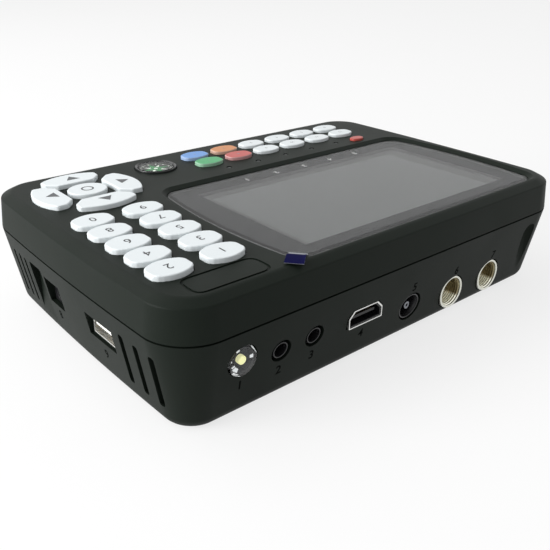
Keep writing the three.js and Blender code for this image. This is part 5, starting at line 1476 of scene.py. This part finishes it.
pins = RepeatTree("contact_row", [("Count", "NodeSocketInt"), ("Start", "NodeSocketVector"),
                                  ("Step", "NodeSocketVector"), ("Pin Size", "NodeSocketVector")])
pin_places = pins.add("GeometryNodeMeshLine", mode="OFFSET", count_mode="TOTAL")
pins.size("Count", pin_places.inputs["Count"])
pins.size("Start", pin_places.inputs["Start Location"])
pins.size("Step", pin_places.inputs["Offset"])
pin_bar = pins.add("GeometryNodeMeshCube")
pins.size("Pin Size", pin_bar.inputs["Size"])
pin_set = pins.add("GeometryNodeInstanceOnPoints")
pins.join(pin_places.outputs[0], pin_set.inputs["Points"])
pins.join(pin_bar.outputs[0], pin_set.inputs["Instance"])
pins.close(pin_set.outputs[0])
pin_y = video_front - tongue_setback - 3.8 * mm
pin_rise = 0.52 * mm
for row_name, side, count in [("upper", 1, 10), ("lower", -1, 9)]:
    start = (video_centre[0] - (count - 1) / 2 * mm, pin_y, video_centre[1] + side * pin_rise)
    row = pins.grow("video_contacts", Count=count, Start=start, Step=(1 * mm, 0, 0),
                    Pin_Size=(0.35 * mm, 7 * mm, 0.06 * mm), Finish=contact_plate)
    leaves = finished(f"video_contacts_{row_name}", row, contact_plate, weighted=False)


# Lamp
# A clear hollow lens pressed into the edge. Behind it a dish painted near black as shade, with a few
# facets painted bright as glints, holds the emitter, a disc of pale yellow phosphor with a painted glow,
# and a metal cup closes it at the back.
lens_low, lens_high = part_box("lamp_lens")
cup_back, cup_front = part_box("lamp_emitter")
lens_clear = tuned(clear_plastic("lens_clear", (0.95, 0.97, 0.97), 0.03), IOR=1.3)
cup_bright = worked_metal("cup_bright", (0.78, 0.78, 0.78), 0.12, grain=0.6 * mm)
phosphor_painted_glow = moulded_plastic("phosphor_painted_glow", (0.80, 0.76, 0.30), 0.4, grain=0.3 * mm, depth=0.005 * mm)
# A faint emission on the phosphor disc: a painted glow.
tuned(phosphor_painted_glow, Emission_Color=(0.95, 0.93, 0.55, 1), Emission_Strength=0.5)
lens_dome = 0.9 * mm
lens_face = lens_high.y - lens_dome
lens_wall = 0.5 * mm
lens_inner = lamp_radius - lens_wall
lens_profile = [(lens_inner, lens_low.y), (lamp_radius, lens_low.y), (lamp_radius, lens_face)]
dome_steps = 12
for step in range(1, dome_steps + 1):
    share = step / dome_steps
    lens_profile.append((lamp_radius * (1 - share), lens_face + lens_dome * (1 - (1 - share) ** 2)))
lens_profile += [(0, lens_face + lens_dome - lens_wall), (lens_inner - 0.3 * mm, lens_face - 0.2 * mm),
                 (lens_inner, lens_face - 0.5 * mm), (lens_inner, lens_low.y)]
lens = finished("lamp_dome", turned_mesh("dome", lens_profile, lamp_centre, "Y", 64), lens_clear)
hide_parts("lamp_lens")
facet_profile = [(0, cup_back.y), (lamp_radius, cup_back.y), (lamp_radius, cup_front.y),
                 (lamp_radius - 0.3 * mm, cup_front.y), (3.6 * mm, cup_front.y - 1.6 * mm),
                 (2.4 * mm, cup_back.y + 0.8 * mm), (0, cup_back.y + 0.8 * mm)]
cup = finished("lamp_cup", turned_mesh("cup", facet_profile, lamp_centre, "Y", 12), cup_bright, crease=20)
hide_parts("lamp_emitter")
# The dish is painted near black: painted shade over the reflector.
dish_painted_shade = worked_metal("dish_painted_shade", (0.010, 0.011, 0.012), 0.3, grain=0.5 * mm, stretch=(1, 1, 1),
                         tarnish=0.5, depth=0.02 * mm)
dish_radius = lens_inner - 0.1 * mm
dish_front = lens_face - 0.6 * mm
dish_back = dish_front - 1.2 * mm
dish_floor = dish_front - 0.9 * mm
dish_profile = [(0, dish_back), (dish_radius - 0.4 * mm, dish_back), (dish_radius, dish_front),
                (dish_radius - 0.15 * mm, dish_front), (2.6 * mm, dish_floor), (0, dish_floor)]
dish = finished("lamp_dish", turned_mesh("dish", dish_profile, lamp_centre, "Y", 14), dish_painted_shade, crease=10)
# Bright metal facets at set angles: painted glints on the dark dish.
painted_glint_facets = [
    (172, 189, 2.7 * mm, 3.95 * mm), (60, 80, 2.9 * mm, 3.7 * mm), (-64, -34, 2.6 * mm, 3.9 * mm),
    (-30, -20, 2.5 * mm, 3.6 * mm), (4, 12, 3.2 * mm, 3.7 * mm),
]
facets = []
for start, end, inner, outer in painted_glint_facets:
    outline = []
    for radius, degrees in [(inner, start), (outer, start), (outer, end), (inner, end)]:
        angle = math.radians(degrees)
        outline.append((lamp_centre[0] + radius * math.cos(angle), lamp_centre[1] + radius * math.sin(angle)))
    facets.append(prism_mesh("facet", outline, dish_front - 0.5 * mm, dish_front - 0.1 * mm, "Y"))
facet_painted_glint = worked_metal("facet_painted_glint", (0.93, 0.94, 0.96), 0.25)
lamp_facets = finished("lamp_facets", joined_mesh("facets", facets), facet_painted_glint, weighted=False)
chip_radius = 1.3 * mm
chip_profile = [(0, dish_floor), (chip_radius, dish_floor), (chip_radius, dish_front + 0.15 * mm),
                (1.15 * mm, dish_front + 0.3 * mm), (0, dish_front + 0.35 * mm)]
chip = finished("lamp_chip", turned_mesh("chip", chip_profile, lamp_centre, "Y", 40), phosphor_painted_glow)


# Power-in jack and data socket
# A square black jack set back in the keypad side, and a plain steel data socket whose cream
# tongue carries four flat contacts.
def side_box(name, centre, length, height, back, front, radius=0.2 * mm):
    """A box with rounded edges that runs in through the keypad side."""
    return prism_mesh(name, filleted(box_outline(*centre, length, height), radius, 3), back, front, "X")


inlet_low, inlet_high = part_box("power_in_jack")
inlet_depth = 9 * mm
inlet_bevel = 0.12 * mm
inlet_bore = round_outline(*power_in_centre, power_bore)
inlet_cut = prism_mesh("bore", inlet_bore, inlet_high.x - inlet_depth, inlet_high.x + overrun, "X")
inlet_block = side_box("block", power_in_centre, *power_in_size, inlet_low.x, inlet_high.x, jack_corner)
inlet_block = carved(inlet_block, [inlet_cut], inlet_bevel)
inlet = finished("power_in_socket", inlet_block, jack_black)
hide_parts("power_in_jack")
inlet_pin_low = inlet_high.x - 9.1 * mm
inlet_pin_radius = 1 * mm
inlet_pin_profile = [
    (0, inlet_pin_low), (inlet_pin_radius, inlet_pin_low), (inlet_pin_radius, inlet_high.x - 1 * mm),
    (0.7 * mm, inlet_high.x - 0.6 * mm), (0, inlet_high.x - 0.5 * mm),
]
inlet_pin_mesh = turned_mesh("pin", inlet_pin_profile, power_in_centre, "X", 24)
inlet_pin = finished("power_in_pin", inlet_pin_mesh, pin_steel)

tongue_cream = moulded_plastic("tongue_cream", (0.92, 0.91, 0.85), 0.4, grain=0.3 * mm, depth=0.003 * mm)
data_low, data_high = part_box("data_socket")
data_mouth = (data_size[0] - 2 * shell_wall, data_size[1] - 2 * shell_wall)
data_corner = 0.6 * mm
data_cut = side_box("mouth", data_centre, *data_mouth, data_low.x + shell_wall, data_high.x + overrun)
data_mesh = side_box("shell", data_centre, *data_size, data_low.x, data_high.x, data_corner)
data_mesh = carved(data_mesh, [data_cut], shell_bevel)
data_shell = finished("data_shell", data_mesh, shell_steel)
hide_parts("data_socket")
data_tongue_z = data_centre[1] + data_size[1] / 4 - shell_wall
data_tongue_size = (11 * mm, 2.1 * mm)
tongue_mesh = side_box("tongue", (data_centre[0], data_tongue_z), *data_tongue_size,
                       data_low.x + shell_wall - 0.1 * mm, data_high.x - 0.35 * mm)
data_tongue = finished("data_tongue", carved(tongue_mesh, [], tongue_bevel), tongue_cream)
leaf_start = (data_high.x - tongue_setback - 4 * mm, data_centre[0] - 3.3 * mm, data_tongue_z - 1.08 * mm)
leaf_row = pins.grow("data_contacts", Count=4, Start=leaf_start, Step=(0, 2.2 * mm, 0),
                     Pin_Size=(7 * mm, 1 * mm, 0.1 * mm), Finish=contact_plate)
leaves = finished("data_contacts", leaf_row, contact_plate, weighted=False)


# Numbers on the walls
# Each socket and the lamp has a plain number beside it, a thin matt black print that leans
# with the wall.
wall_ink = moulded_plastic("wall_ink", (0.002, 0.0025, 0.002), 0.75, grain=0.2 * mm, depth=0.002 * mm)
tuned(wall_ink, Specular_IOR_Level=0.01)
wall_number_height = 3.2 * mm
wall_number_bold = 0.05 * mm
wall_number_lift = 0.01 * mm
wall_lean = Matrix.Rotation(math.pi / 2 + math.atan2(base_inset, parting_height), 4, "X")
edge_labels = [
    ("1", lamp_centre, -8.8 * mm), ("2", audio_centres[1], -7 * mm), ("3", audio_centres[0], -7 * mm),
    ("4", video_centre, -7.4 * mm), ("5", power_out_centre, 8 * mm), ("6", signal_centres[0], 9 * mm),
    ("7", signal_centres[1], 9 * mm),
]
for text, (x, socket_z), offset in edge_labels:
    z = socket_z + offset
    turn = Matrix.Rotation(math.pi, 4, "Z") @ wall_lean
    place = (x, edge_face(z) + wall_number_lift)
    lettered(f"edge_number_{text}", text, wall_number_height, wall_ink, place, z, "case", turn,
             bold=wall_number_bold)
for text, (y, socket_z), offset in [("8", power_in_centre, -8 * mm), ("9", data_centre, -8 * mm)]:
    z = socket_z + offset
    turn = Matrix.Rotation(math.pi / 2, 4, "Z") @ wall_lean
    place = (side_face(y, z) + wall_number_lift, y)
    lettered(f"side_number_{text}", text, wall_number_height, wall_ink, place, z, "case", turn,
             bold=wall_number_bold)


# Inside parts
# Green fibreglass boards, the battery in its blue sleeve, the tuner in a tinned can, the
# small speaker, the ribbon between the boards and the rubber sheet under the keys.
def carried_over(node, material):
    """A solid whose own shape is right gets its finish."""
    piece = bpy.data.objects[node]
    piece.data.materials.clear()
    piece.data.materials.append(material)


board_green = moulded_plastic("board_green", (0.012, 0.11, 0.035), 0.35, grain=1.4 * mm, depth=0.02 * mm,
                              patch=0.45)
carried_over("main_board", board_green)
carried_over("key_board", board_green)
carried_over("key_membrane", moulded_plastic("sheet_rubber", (0.42, 0.43, 0.44), 0.6, grain=0.4 * mm,
                                             depth=0.01 * mm))
carried_over("battery_pack", moulded_plastic("sleeve_blue", (0.02, 0.07, 0.26), 0.3, grain=2 * mm,
                                             depth=0.05 * mm))
carried_over("tuner_can", worked_metal("can_tin", (0.70, 0.71, 0.70), 0.3, grain=0.4 * mm,
                                       stretch=(0.1, 1, 1)))
carried_over("speaker", moulded_plastic("cone_paper", (0.02, 0.02, 0.02), 0.8, grain=0.25 * mm,
                                        depth=0.03 * mm))
carried_over("ribbon_cable", moulded_plastic("ribbon_grey", (0.50, 0.50, 0.48), 0.5, grain=0.6 * mm,
                                             depth=0.02 * mm))


# Case screws
# Four self-tapping steel screws with pan heads and cross recesses, sunk in round wells in the
# underside. They are driven up from below and hold the two shells together.
screw_zinc = worked_metal("screw_zinc", (0.42, 0.43, 0.44), 0.35, grain=0.2 * mm, tarnish=0.2)
screw_low, screw_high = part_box("case_screw_1")
shank_radius = 1.05 * mm
head_height = 1.8 * mm
head_low = screw_low.z
head_high = head_low + head_height
recess_size = (2.7 * mm, 0.55 * mm)
recess_depth = 1.1 * mm
recess_turn = 0.3
screw_tip = 1.6 * mm
screw_pitch = 1.1 * mm
screw_crest = 0.24 * mm
head_profile = [(0, head_low), (1.4 * mm, head_low + 0.02 * mm), (2.1 * mm, head_low + 0.22 * mm),
                (screw_head_radius, head_low + 0.75 * mm), (screw_head_radius, head_high),
                (shank_radius, head_high), (shank_radius, screw_high.z - screw_tip),
                (0.15 * mm, screw_high.z), (0, screw_high.z)]
recess_cuts = []
for turn in (0, math.pi / 2):
    blade = [Vector((x, y)) for x, y in box_outline(0, 0, *recess_size)]
    for point in blade:
        point.rotate(Matrix.Rotation(turn + recess_turn, 2))
    blade = [tuple(point) for point in blade]
    recess_cuts.append(prism_mesh("blade", blade, head_low - overrun, head_low + recess_depth))
head_mesh = carved(turned_mesh("screw", head_profile, (0, 0), steps=32), recess_cuts, 0.05 * mm)
head_mesh.materials.append(screw_zinc)
screw_blank = plain_object("screw_blank", head_mesh)

screws = RepeatTree("case_screws", [("Half Length", "NodeSocketFloat"), ("Half Width", "NodeSocketFloat"),
                                    ("Screw", "NodeSocketObject"), ("Pitch", "NodeSocketFloat"),
                                    ("Shank Radius", "NodeSocketFloat"), ("Shank Low", "NodeSocketFloat"),
                                    ("Thread Height", "NodeSocketFloat"), ("Crest", "NodeSocketFloat")])
corners = screws.add("GeometryNodeMeshGrid")
for label, axis in [("Half Length", "X"), ("Half Width", "Y")]:
    double = screws.add("ShaderNodeMath", operation="MULTIPLY")
    double.inputs[1].default_value = 2
    screws.size(label, double.inputs[0])
    corners.inputs[f"Vertices {axis}"].default_value = 2
    screws.join(double.outputs[0], corners.inputs[f"Size {axis}"])
screw_shape = screws.add("GeometryNodeObjectInfo")
screws.size("Screw", screw_shape.inputs["Object"])
screw_helix = screws.add("GeometryNodeCurveSpiral")
screw_helix.inputs["Resolution"].default_value = 24
screws.size("Shank Radius", screw_helix.inputs["Start Radius"])
screws.size("Shank Radius", screw_helix.inputs["End Radius"])
screws.size("Thread Height", screw_helix.inputs["Height"])
screw_turns = screws.add("ShaderNodeMath", operation="DIVIDE")
screws.size("Thread Height", screw_turns.inputs[0])
screws.size("Pitch", screw_turns.inputs[1])
screws.join(screw_turns.outputs[0], screw_helix.inputs["Rotations"])
crest_circle = screws.add("GeometryNodeCurvePrimitiveCircle")
crest_circle.inputs["Resolution"].default_value = 4
screws.size("Crest", crest_circle.inputs["Radius"])
screw_ridge = screws.add("GeometryNodeCurveToMesh")
screw_ridge.inputs["Fill Caps"].default_value = True
screws.join(screw_helix.outputs[0], screw_ridge.inputs["Curve"])
screws.join(crest_circle.outputs[0], screw_ridge.inputs["Profile Curve"])
ridge_place = screws.add("ShaderNodeCombineXYZ")
screws.size("Shank Low", ridge_place.inputs["Z"])
ridge_move = screws.add("GeometryNodeTransform")
screws.join(screw_ridge.outputs[0], ridge_move.inputs["Geometry"])
screws.join(ridge_place.outputs[0], ridge_move.inputs["Translation"])
whole_screw = screws.add("GeometryNodeJoinGeometry")
screws.join(screw_shape.outputs["Geometry"], whole_screw.inputs[0])
screws.join(ridge_move.outputs[0], whole_screw.inputs[0])
screw_set = screws.add("GeometryNodeInstanceOnPoints")
screws.join(corners.outputs[0], screw_set.inputs["Points"])
screws.join(whole_screw.outputs[0], screw_set.inputs["Instance"])
screws.close(screw_set.outputs[0])
screw_mesh = screws.grow("case_screw_set", Half_Length=screw_reach_x, Half_Width=screw_reach_y,
                         Screw=screw_blank, Pitch=screw_pitch, Shank_Radius=shank_radius,
                         Shank_Low=head_high + 1 * mm, Thread_Height=screw_high.z - head_high - 3 * mm,
                         Crest=screw_crest, Finish=screw_zinc)
bpy.data.objects.remove(screw_blank)
bpy.data.meshes.remove(head_mesh)
case_screws = finished("case_screws", screw_mesh, screw_zinc, weighted=False)
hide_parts("case_screw_1", "case_screw_2", "case_screw_3", "case_screw_4")
